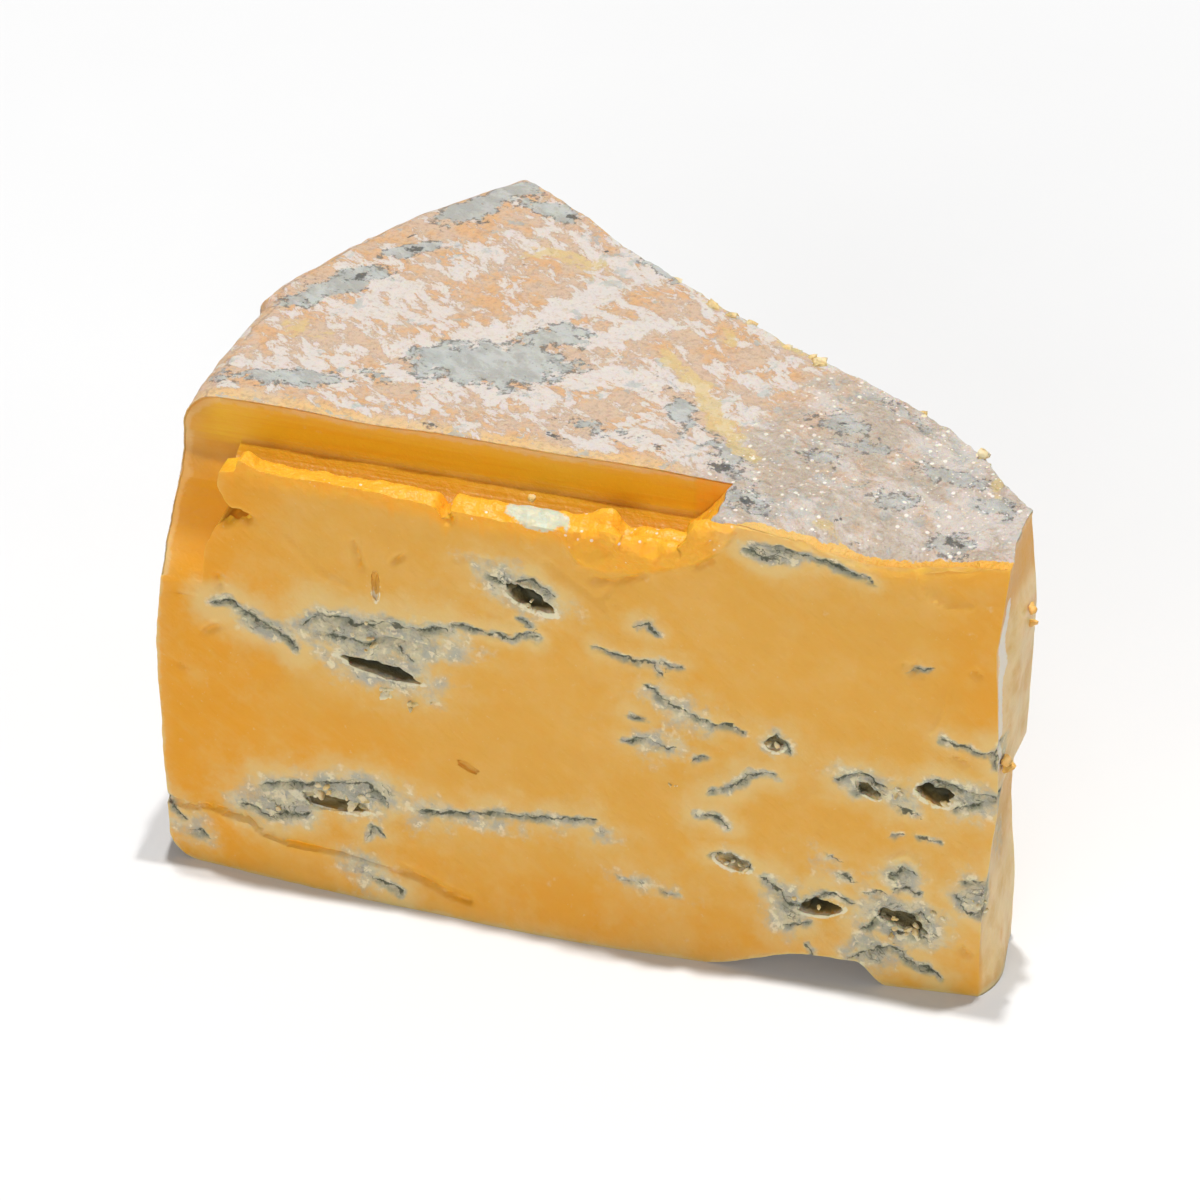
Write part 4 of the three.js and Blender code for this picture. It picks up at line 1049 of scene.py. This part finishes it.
class Look:
    """A material's node tree, built by short calls whose values are sockets, numbers or colours."""

    def __init__(self, name):
        self.material = bpy.data.materials.new(name)
        self.material.use_nodes = True
        self.tree = self.material.node_tree
        self.tree.nodes.clear()
        millimetres = self.node("ShaderNodeVectorMath", operation="SCALE")
        self.feed(millimetres.inputs[0], self.node("ShaderNodeTexCoord").outputs["Object"])
        millimetres.inputs["Scale"].default_value = 1 / MM
        self.place = millimetres.outputs[0]

    def node(self, kind, **settings):
        made = self.tree.nodes.new(kind)
        for name, value in settings.items():
            setattr(made, name, value)
        return made

    def feed(self, socket, value):
        if isinstance(value, bpy.types.NodeSocket):
            self.tree.links.new(value, socket)
        elif socket.type == "RGBA":
            socket.default_value = (*value, 1.0)
        else:
            socket.default_value = value

    def reckon(self, operation, first, second=0.0, clamp=False):
        made = self.node("ShaderNodeMath", operation=operation, use_clamp=clamp)
        self.feed(made.inputs[0], first)
        self.feed(made.inputs[1], second)
        return made.outputs[0]

    def chain(self, operation, values):
        return functools.reduce(functools.partial(self.reckon, operation), values)

    def add(self, *values):
        return self.chain("ADD", values)

    def times(self, *values):
        return self.chain("MULTIPLY", values)

    def highest(self, *values):
        return self.chain("MAXIMUM", values)

    def without(self, share):
        return self.reckon("SUBTRACT", 1.0, share, clamp=True)

    def around_zero(self, value, strength):
        """A value from 0 to 1 as one around 0, that many times as strong."""
        return self.times(self.reckon("SUBTRACT", value, 0.5), strength)

    def rise(self, value, start, end):
        made = self.node("ShaderNodeMapRange", interpolation_type="SMOOTHSTEP")
        self.feed(made.inputs["Value"], value)
        made.inputs["From Min"].default_value = start
        made.inputs["From Max"].default_value = end
        return made.outputs["Result"]

    def fade(self, value, start, end):
        return self.without(self.rise(value, start, end))

    def mix(self, share, first, second):
        made = self.node("ShaderNodeMix", data_type="RGBA")
        self.feed(made.inputs[0], share)
        self.feed(made.inputs[6], first)
        self.feed(made.inputs[7], second)
        return made.outputs[2]

    def over(self, under, tone, *shares):
        """A colour with a tone laid over it by the product of some shares."""
        return self.mix(self.times(*shares), under, tone)

    def stretched(self, stretch=(1, 1, 1), turn=(0, 0, 0), shift=0.0):
        made = self.node("ShaderNodeMapping", vector_type="TEXTURE")
        self.feed(made.inputs["Vector"], self.place)
        made.inputs["Rotation"].default_value = [math.radians(a) for a in turn]
        made.inputs["Scale"].default_value = stretch
        made.inputs["Location"].default_value = (shift, shift * 0.7, shift * 1.3)
        return made.outputs[0]

    def noise(self, size, detail=4.0, roughness=0.55, distortion=0.0, vector=None):
        """Noise with lumps of a size in millimetres, from 0 to 1."""
        made = self.node("ShaderNodeTexNoise")
        self.feed(made.inputs["Vector"], vector or self.place)
        made.inputs["Scale"].default_value = 1 / size
        made.inputs["Detail"].default_value = detail
        made.inputs["Roughness"].default_value = roughness
        made.inputs["Distortion"].default_value = distortion
        return made.outputs[0]

    def swing(self, size, amount, **more):
        """Noise around 0 that reaches about the amount up and down."""
        return self.around_zero(self.noise(size, **more), 4 * amount)

    def dots(self, spacing, size, vector=None):
        """Round dots of a size, one to each cell of the spacing, in millimetres."""
        made = self.node("ShaderNodeTexVoronoi", feature="F1")
        self.feed(made.inputs["Vector"], vector or self.place)
        made.inputs["Scale"].default_value = 1 / spacing
        return self.fade(made.outputs["Distance"], size / spacing * 0.6, size / spacing)

    def value(self, name):
        return self.node("ShaderNodeAttribute", attribute_name=name).outputs["Fac"]

    def uneven(self, name, *swings):
        """A field moved by noise, each layer of which is given by its size and amount."""
        return self.add(self.value(name), *(self.swing(*layer) for layer in swings))

    def surface(self, colour, roughness, height, **constants):
        """Ends the tree: a shader of that colour, roughness and relief in millimetres."""
        bump = self.node("ShaderNodeBump")
        bump.inputs["Strength"].default_value = 1.0
        bump.inputs["Distance"].default_value = MM
        self.feed(bump.inputs["Height"], height)
        shader = self.node("ShaderNodeBsdfPrincipled")
        self.feed(shader.inputs["Base Color"], colour)
        self.feed(shader.inputs["Roughness"], roughness)
        self.feed(shader.inputs["Normal"], bump.outputs[0])
        for name, value in constants.items():
            shader.inputs[name.replace("_", " ")].default_value = value
        output = self.node("ShaderNodeOutputMaterial")
        self.feed(output.inputs["Surface"], shader.outputs[0])
        return self.material


def paste_colour(look, tones):
    """Colour of the paste on the old cut, the fresh wall, the strip, the lip and in creases, with
    painted shade on the ledge and the strip, painted highlights on the lip, and creases painted brighter
    against their shade.
    """
    cloudy = look.noise(6, detail=5, roughness=0.6)
    warm = look.rise(look.uneven("warm", (9, 0.22)), 0.05, 0.95)
    colour = look.mix(warm, tones.paste, tones.paste_warm)
    colour = look.over(colour, tones.paste_pale, look.rise(cloudy, 0.42, 0.72), 0.45)
    smear = look.noise(1.4, detail=4, vector=look.stretched((5, 1, 1), (0, 38, 0)))
    colour = look.over(colour, tones.paste_pale, look.rise(smear, 0.5, 0.8), 0.2)
    colour = look.over(colour, tones.paste_warm, look.fade(smear, 0.25, 0.46), 0.2)
    flecks = look.rise(look.noise(0.55, detail=3), 0.68, 0.76)
    colour = look.over(colour, tones.cream, flecks, 0.4)
    pits = look.noise(1.9, detail=5, roughness=0.6, vector=look.stretched(shift=11))
    pits = look.fade(pits, 0.2, 0.27)
    colour = look.over(colour, tones.paste_fresh, pits, 0.5)

    # Torn strip: its darker tone, weighted as painted shade where it faces up
    colour = look.over(colour, tones.strip, look.value("strip"), 0.9)
    streaks = look.noise(0.45, detail=3, vector=look.stretched((36, 6, 1)))
    wall = look.over(tones.paste_fresh, tones.paste_warm, look.rise(streaks, 0.42, 0.66), 0.35)
    # Painted shade on the up-facing floor of the step
    wall = look.over(wall, tones.ledge, look.value("ledge"))
    colour = look.over(colour, wall, look.value("fresh"))
    lumpy = look.rise(look.noise(1.8, detail=4, roughness=0.5), 0.4, 0.64)
    lip = look.mix(look.times(lumpy, 0.6), tones.paste_lip, tones.lip_deep)
    shine = look.rise(look.uneven("lip", (1.9, 0.16)), 0.1, 0.9)
    colour = look.over(colour, lip, shine)
    scraped = look.noise(1.0, detail=3, vector=look.stretched((1, 1, 12), shift=4))
    under_lip = look.rise(look.value("lip"), 0.02, 0.3)
    colour = look.over(colour, tones.lip_deep, look.rise(scraped, 0.5, 0.64), under_lip, 0.25)
    # Painted highlight along the top of the torn skin
    colour = look.over(colour, tones.paste_lip, look.value("rim_light"), 0.5)
    # Painted highlights: white glints on the lip's lumps
    lip_glints = look.times(look.dots(1.1, 0.22), look.rise(look.value("lip"), 0.75, 0.95))
    colour = look.over(colour, tones.glint, lip_glints, look.rise(lumpy, 0.3, 0.7), 0.7)
    # Amber: fresh paste painted brighter in creases and bare pockets to offset their shade
    amber = look.rise(look.uneven("amber", (0.6, 0.15)), 0.3, 0.8)
    return look.mix(look.times(amber, 0.85), colour, tones.amber)


def veined(look, tones, colour):
    """Adds the veins' cream haze, their grey mould and the dark broken lines in it."""
    haze = look.uneven("haze", (3.2, 0.16), (0.9, 0.07))
    colour = look.over(colour, tones.haze, look.rise(haze, 0.08, 0.75), 0.78)
    mould = look.uneven("mould", (2.4, 0.24), (0.8, 0.09))
    soft = look.noise(1.5, detail=5, roughness=0.6)
    body = look.mix(look.rise(soft, 0.4, 0.6), tones.vein_pale, tones.vein_mid)
    body = look.over(body, tones.curd, look.rise(look.noise(1.2, detail=4), 0.56, 0.64))
    colour = look.over(colour, body, look.rise(mould, 0.16, 0.6), 0.92)

    side = look.times(look.add(look.value("side"), -0.5), 2 * VEIN_SIDE)
    wander = look.add(side, look.swing(1.6, 0.3), look.swing(0.5, 0.14))
    near = look.value("vein")
    gate = look.rise(look.add(near, look.swing(1.3, 0.22)), 0.62, 0.84)
    patchy = look.rise(look.noise(2.1, detail=4, vector=look.stretched(shift=3)), 0.4, 0.62)
    below = look.times(look.rise(wander, -1.4, -0.1), look.fade(wander, 0.1, 0.4))
    colour = look.over(colour, tones.vein_grey, below, look.rise(near, 0.4, 0.8), patchy, 0.85)
    thick = look.noise(0.9, detail=3, vector=look.stretched(shift=9))
    thick = look.times(look.rise(thick, 0.34, 0.72), 0.19)
    apart = look.reckon("SUBTRACT", look.reckon("ABSOLUTE", wander), thick)
    line = look.times(look.fade(apart, -0.06, 0.1), gate)
    crinkle = look.stretched((1.6, 1, 1), (0, 12, 0))
    crinkle = look.noise(1.9, detail=4, roughness=0.55, distortion=1.0, vector=crinkle)
    thin = look.fade(look.reckon("ABSOLUTE", look.add(crinkle, -0.5)), 0.004, 0.026)
    drawn = look.highest(line, look.times(thin, look.rise(mould, 0.4, 0.65), patchy, 0.9))
    colour = look.over(colour, tones.dark_mould_and_pocket_shade, drawn, 0.86)
    curd = look.rise(look.uneven("curd", (0.9, 0.3)), 0.35, 0.6)
    colour = look.over(colour, tones.curd, curd, look.without(drawn), 0.9)
    # Pocket walls, going to dark mould where they lie deepest: painted shade
    hollow = look.value("hollow")
    inside = look.mix(look.rise(hollow, 0.3, 0.85), tones.hollow, tones.dark_mould_and_pocket_shade)
    colour = look.over(colour, inside, look.rise(hollow, 0.08, 0.4), 0.92)
    return colour, mould


def rind_colour(look, tones):
    """Colour and roughness of the rind: its ground, chalky flakes, grey patches, spots and gold bits,
    with painted glints where it is moist.
    """
    moist = look.rise(look.uneven("moist", (9, 0.25)), 0.3, 0.75)
    broad = look.noise(5.5, detail=5, roughness=0.65)
    grain = look.noise(0.6, detail=4, roughness=0.62)
    peach = look.mix(look.rise(broad, 0.44, 0.58), tones.rind_tan, tones.rind_peach)
    mauve = look.mix(look.rise(broad, 0.48, 0.62), tones.rind_mauve, tones.rind_tan)
    ground = look.mix(moist, peach, mauve)
    ground = look.over(ground, tones.cream, look.value("brim"), 0.6)
    ground = look.over(ground, tones.rind_brown, look.rise(grain, 0.45, 0.68), 0.4)

    slant = look.stretched((1.8, 1, 1), (0, 0, -38))
    flakes = look.noise(2.0, detail=6, roughness=0.7, distortion=0.3, vector=slant)
    wide = look.noise(11, detail=3)
    push = look.add(
        flakes, look.around_zero(wide, 0.5), look.times(look.value("chalk"), 0.22),
        look.times(moist, -0.05), look.times(look.value("brim"), -0.11), 0.012,
    )
    veil = look.rise(push, 0.44, 0.58)
    colour = look.mix(look.times(veil, 0.55), ground, tones.rind_pale)
    edge = look.times(look.rise(push, 0.49, 0.51), look.fade(push, 0.515, 0.54))
    colour = look.over(colour, tones.rind_brown, edge, look.without(moist), 0.4)
    crisp = look.times(look.rise(push, 0.5, 0.57), look.without(moist), 0.9)
    cloudy = look.times(look.rise(push, 0.4, 0.62), moist, 0.6)
    worn = look.times(look.rise(grain, 0.54, 0.66), 0.6)
    white = look.times(look.add(crisp, cloudy), look.without(worn))
    colour = look.over(colour, tones.white_mould, white)
    orange = look.times(look.rise(look.noise(1.1, detail=6, roughness=0.7), 0.58, 0.68), 0.5)
    colour = look.over(colour, tones.rind_peach, orange, look.add(0.35, look.times(moist, 0.65)))

    torn = look.noise(2.4, detail=6, roughness=0.66, distortion=0.3, vector=look.stretched(shift=5))
    patchy = look.add(look.value("grey"), look.around_zero(torn, 1.5))
    loose = look.add(torn, look.times(wide, 0.35), look.times(moist, 0.05))
    loose = look.times(look.rise(loose, 0.76, 0.82), 0.8)
    grey_share = look.highest(look.rise(patchy, 0.42, 0.52), loose)
    mottle = look.mix(look.rise(flakes, 0.4, 0.6), tones.grey_mould, tones.grey_pale)
    colour = look.over(colour, mottle, grey_share, look.add(0.88, look.times(moist, -0.22)))
    outline = look.times(look.rise(patchy, 0.36, 0.42), look.fade(patchy, 0.5, 0.62))
    colour = look.over(colour, tones.spot, outline, look.rise(grain, 0.46, 0.58), 0.65)

    gold = look.rise(look.add(look.value("gold"), look.around_zero(torn, 1.9)), 0.5, 0.75)
    colour = look.over(colour, tones.gold, gold, 0.7)
    spots = look.rise(look.uneven("spot", (1.0, 0.28), (0.4, 0.2)), 0.56, 0.8)
    colour = look.over(colour, tones.spot, spots, 0.88)
    specks = look.noise(0.8, detail=6, roughness=0.72, vector=look.stretched(shift=7))
    colour = look.over(colour, tones.rind_brown, look.rise(specks, 0.61, 0.68), 0.6)
    rim = look.add(look.times(look.value("rim"), 8), look.swing(3, 0.5), look.swing(0.8, 0.2))
    smooth = look.times(look.rise(rim, 6.0, 6.6), 0.6)
    colour = look.over(colour, tones.rind_peach, smooth, look.rise(torn, 0.4, 0.6))
    seam = look.times(look.rise(rim, 5.6, 5.9), look.fade(rim, 5.95, 6.3))
    colour = look.over(colour, tones.rind_brown, seam, look.rise(flakes, 0.4, 0.52), 0.6)
    # Painted highlights: glint dots on the moist rind
    glints = look.highest(look.dots(1.3, 0.3), look.dots(0.8, 0.14, look.stretched(shift=2)))
    glints = look.times(glints, look.rise(wide, 0.38, 0.54), moist)
    colour = look.over(colour, tones.glint, glints, 0.9)
    rough = look.reckon("SUBTRACT", 0.85, look.times(moist, look.without(white), 0.45))
    return colour, rough


def rind_height(look):
    """Relief of the rind in millimetres: fine grain, slanting flakes, and lumps where it is moist."""
    grain = look.times(look.noise(0.6, detail=3, roughness=0.62), 0.2)
    slant = look.stretched((1.8, 1, 1), (0, 0, -38))
    flakes = look.times(look.noise(2.0, detail=5, roughness=0.7, distortion=0.3, vector=slant), 0.5)
    lumps = look.times(look.noise(1.3, detail=4, roughness=0.6), look.value("moist"), 0.7)
    return look.add(grain, flakes, lumps)


def cheese_material(tones):
    """One material for the whole wedge: rind where the crust is thin, paste and veins under it."""
    look = Look("cheese")
    colour = paste_colour(look, tones)
    crust = look.times(look.value("crust"), CRUST_DEPTH)
    depth = look.add(crust, look.swing(2.6, 0.35), look.swing(0.7, 0.14))
    edge = look.times(look.fade(depth, 0.4, 1.1), 0.8)
    band = look.highest(edge, look.times(look.fade(depth, 0.5, 2.4), 0.15))
    bare = look.rise(look.uneven("bare", (2.6, 0.36), (0.8, 0.22)), 0.46, 0.58)
    band = look.times(band, look.without(look.value("lip")), look.without(look.times(bare, 0.7)))
    band = look.times(band, look.without(look.times(look.value("strip"), 0.6)))
    colour = look.over(colour, tones.cream, band)
    colour = look.over(colour, tones.paste_lip, look.value("bright"), 0.45)
    # The tip's face painted paler: milky paste, and painted light for the light on that side
    tip = look.times(look.value("tip"), look.rise(look.noise(4, detail=5), 0.25, 0.6), 0.75)
    colour = look.over(colour, tones.tip, tip)
    colour, mould = veined(look, tones, colour)
    plate = look.rise(look.uneven("plate", (1.0, 0.12)), 0.46, 0.54)
    film = look.mix(look.rise(look.noise(1.0, detail=5), 0.35, 0.65), tones.film, tones.vein_pale)
    colour = look.over(colour, film, plate)
    # Painted highlight down the tip's front edge
    smear = look.rise(look.uneven("smear", (1.4, 0.12), (0.4, 0.1)), 0.42, 0.56)
    colour = look.over(colour, tones.glint, smear, 0.85)

    rind, rind_rough = rind_colour(look, tones)
    skin = look.fade(look.add(crust, look.swing(0.8, 0.06)), 0.04, 0.14)
    on_rind = look.times(skin, look.without(bare))
    colour = look.over(colour, rind, on_rind)

    skin_near = look.fade(crust, 0.05, 0.25)
    crumbling = look.rise(look.value("mould"), 0.3, 0.7)
    fine = look.times(look.noise(1.0, detail=4, roughness=0.6), 0.12)
    scrapes = look.times(look.noise(0.7, detail=2, vector=look.stretched((8, 1, 1), (0, 38, 0))), 0.06)
    wall = look.noise(0.45, detail=2, vector=look.stretched((36, 6, 1)))
    wall = look.times(wall, look.value("fresh"), 0.1)
    crumbly = look.times(crumbling, look.noise(0.6, detail=4, roughness=0.65), 0.5)
    lumps = look.times(look.value("lip"), look.noise(0.9, detail=2), 0.25)
    paste_height = look.times(look.add(fine, scrapes, wall, crumbly, lumps), look.without(skin_near))
    height = look.add(paste_height, look.times(rind_height(look), skin_near))
    rough = look.add(0.42, look.times(look.rise(mould, 0.3, 0.7), 0.3))
    rough = look.add(look.times(rough, look.without(on_rind)), look.times(rind_rough, on_rind))
    return look.surface(
        colour, rough, height,
        Subsurface_Weight=0.35, Subsurface_Radius=(1.0, 0.42, 0.12), Subsurface_Scale=2.6 * MM,
        Specular_IOR_Level=0.28,
    )


def crumb_material(tones):
    """Cream to yellow crumbs with a little blue mould on them."""
    look = Look("crumb")
    colour = look.mix(look.rise(look.noise(1.6, detail=4), 0.35, 0.65), tones.curd, tones.haze)
    colour = look.over(colour, tones.vein_grey, look.rise(look.noise(0.8, detail=4), 0.55, 0.7), 0.5)
    yellow = look.times(look.value("yellow"), 0.9)
    colour = look.over(colour, tones.paste_lip, yellow)
    height = look.times(look.noise(0.4, detail=5), 0.2)
    return look.surface(
        colour, 0.55, height,
        Subsurface_Weight=0.3, Subsurface_Radius=(1.0, 0.5, 0.2), Subsurface_Scale=0.4 * MM,
    )


def add_crumb(bm, middle, size, draw, yellow, flatness=0.6):
    """Adds one ragged crumb to a bmesh, about as wide as its size."""
    layer = bm.verts.layers.float["yellow"]
    made = bmesh.ops.create_icosphere(bm, subdivisions=2, radius=size / 2)["verts"]
    offset = Vector((draw.uniform(0, 50), draw.uniform(0, 50), 0))
    for vertex in made:
        vertex.co *= 1 + 0.7 * noise.noise(vertex.co / size * 2.2 + offset)
        vertex[layer] = yellow
    scale = (draw.uniform(0.9, 1.6), draw.uniform(flatness, 1.0), draw.uniform(flatness, 1.1))
    bmesh.ops.scale(bm, vec=scale, verts=made)
    tip, spin = draw.uniform(-0.6, 0.6), draw.uniform(0, 6.28)
    turn = Matrix.Rotation(tip, 3, "Y") @ Matrix.Rotation(spin, 3, "Z")
    bmesh.ops.rotate(bm, cent=(0, 0, 0), matrix=turn, verts=made)
    bmesh.ops.translate(bm, vec=middle, verts=made)


def cut_crumbs(bm, form, draw):
    """Curds that cling in and round the pockets of the shown cut."""
    for x, z, spread, number, size in CURDS:
        for _ in range(number):
            cx, cz = draw.gauss(x, spread * 0.6), draw.gauss(z, spread * 0.35)
            middle = (cx, at(form.cut_y, cx, cz) + draw.uniform(-0.05, 0.25), cz)
            add_crumb(bm, middle, size * draw.uniform(0.6, 1.5), draw, 0.0)


def edge_crumbs(bm, form, draw, number=20):
    """Pale crumbs along the back cut's top edge."""
    for _ in range(number):
        radius = draw.uniform(28, 86)
        angle = at(form.back_angle, radius) + draw.uniform(-0.012, 0.002)
        x, y = -radius * math.cos(angle), radius * math.sin(angle)
        z = at(form.top_z, x, y) + draw.uniform(-0.9, 0.1)
        add_crumb(bm, (x, y, z), draw.uniform(0.5, 1.9), draw, draw.uniform(0.0, 0.15), 0.4)


def lone_crumbs(bm, draw):
    """The crumb on the ledge, the drop of paste on the tip and the bits at the tip's back edge."""
    *middle, size = LEDGE_CRUMB
    add_crumb(bm, middle, size, draw, 0.3)
    for *middle, size in DROPS:
        add_crumb(bm, middle, size, draw, 0.75, 0.8)


class CHEESE_OT_wedge(bpy.types.Operator):
    """Builds the wedge with its step, pockets, veins and rind"""

    bl_idname = "cheese.build_wedge"
    bl_label = "Build wedge"

    def execute(self, context):
        sizes, tones = context.scene.cheese_form, context.scene.cheese_colours
        wedge = build_wedge_mesh(WedgeForm(sizes), sizes.relief)
        into_frame(wedge)
        finish_piece(wedge, cheese_material(tones), math.radians(48))
        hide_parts(NODE)
        return {"FINISHED"}


class CHEESE_OT_crumbs(bpy.types.Operator):
    """Scatters the curds and crumbs that cling to the wedge"""

    bl_idname = "cheese.scatter_crumbs"
    bl_label = "Scatter crumbs"

    def execute(self, context):
        form, draw = WedgeForm(context.scene.cheese_form), random.Random(SEED)
        bm = bmesh.new()
        bm.verts.layers.float.new("yellow")
        cut_crumbs(bm, form, draw)
        edge_crumbs(bm, form, draw)
        lone_crumbs(bm, draw)
        crumbs = to_object(bm, "crumbs")
        into_frame(crumbs)
        finish_piece(crumbs, crumb_material(context.scene.cheese_colours), math.radians(60))
        return {"FINISHED"}


def aim(thing, place, target):
    """Stands a camera or light at a place and points it at a target."""
    thing.location = place
    thing.rotation_euler = (Vector(target) - Vector(place)).to_track_quat("-Z", "Y").to_euler()


def add_light(name, kind, place, target, energy, **settings):
    """Adds a light of a kind, which stands at a place and points at a target."""
    data = bpy.data.lights.new(name, kind)
    data.energy = energy
    for setting, value in settings.items():
        setattr(data, setting, value)
    aim(add_object(name, data), place, target)


def floor_material():
    look = Look("floor")
    colour = look.mix(look.noise(40, detail=3), (0.71, 0.71, 0.71), (0.73, 0.73, 0.73))
    return look.surface(colour, 0.9, look.times(look.noise(0.8), 0.01), Specular_IOR_Level=0.1)


class CHEESE_OT_stage(bpy.types.Operator):
    """Sets the pale floor, the soft lights and the camera"""

    bl_idname = "cheese.set_stage"
    bl_label = "Set stage"

    def execute(self, context):
        stage = context.scene.cheese_stage
        bm = bmesh.new()
        bmesh.ops.create_grid(bm, x_segments=8, y_segments=8, size=stage.floor_size / 2)
        floor = to_object(bm, "floor")
        floor.data.materials.append(floor_material())

        for number, (share, place) in enumerate(KEYS_FROM):
            name, energy = f"key_light_{number}", stage.key * share
            add_light(name, "SUN", place, (0, 0, 0), energy, angle=stage.key_angle)
        for name, place, width, energy in (
            ("front_light", (-0.05, -1.3, 0.5), 0.9, stage.fill),
            ("side_light", (1.1, -0.2, 0.4), 0.5, stage.side),
        ):
            area = {"shape": "RECTANGLE", "size": width, "size_y": 0.6}
            add_light(name, "AREA", place, (0, 0, 0.02), energy, **area)
        world = context.scene.world or bpy.data.worlds.new("world")
        context.scene.world = world
        world.use_nodes = True
        sky = world.node_tree.nodes["Background"]
        sky.inputs["Color"].default_value = (1.0, 1.0, 1.0, 1.0)
        sky.inputs["Strength"].default_value = stage.sky
        context.scene.view_settings.view_transform = "Standard"
        context.scene.view_settings.look = "None"

        data = bpy.data.cameras.new("camera")
        data.lens = stage.lens
        data.sensor_width = 36.0
        camera = add_object("camera", data)
        aimed = Vector((AXIS_PLACE[0] - AIM[0], AXIS_PLACE[1], AIM[1])) * MM
        turn, lift = stage.view_turn, stage.view_rise
        level = math.cos(lift)
        back = Vector((math.sin(turn) * level, -math.cos(turn) * level, math.sin(lift)))
        aim(camera, aimed + back * stage.distance, aimed)
        context.scene.camera = camera
        return {"FINISHED"}


class CHEESE_PT_panel(bpy.types.Panel):
    """Lists the wedge's sizes, colours and building steps"""

    bl_label = "Blue Cheese Wedge"
    bl_idname = "CHEESE_PT_panel"
    bl_space_type = "VIEW_3D"
    bl_region_type = "UI"
    bl_category = "Cheese"

    def draw(self, context):
        scene = context.scene
        for group in GROUPS:
            box = self.layout.box()
            for name in GROUPS[group].__annotations__:
                box.prop(getattr(scene, group), name)
        for operator in OPERATORS:
            self.layout.operator(operator.bl_idname)


GROUPS = {
    "cheese_form": CHEESE_PG_form, "cheese_colours": CHEESE_PG_colours, "cheese_stage": CHEESE_PG_stage,
}
OPERATORS = (CHEESE_OT_wedge, CHEESE_OT_crumbs, CHEESE_OT_stage)
CLASSES = (*GROUPS.values(), *OPERATORS, CHEESE_PT_panel)


def register():
    for cls in CLASSES:
        bpy.utils.register_class(cls)
    for name, group in GROUPS.items():
        setattr(bpy.types.Scene, name, PointerProperty(type=group))


def unregister():
    for name in GROUPS:
        delattr(bpy.types.Scene, name)
    for cls in reversed(CLASSES):
        bpy.utils.unregister_class(cls)


def main():
    register()
    bpy.ops.cheese.build_wedge()
    bpy.ops.cheese.scatter_crumbs()
    bpy.ops.cheese.set_stage()


if __name__ == "__main__":
    main()
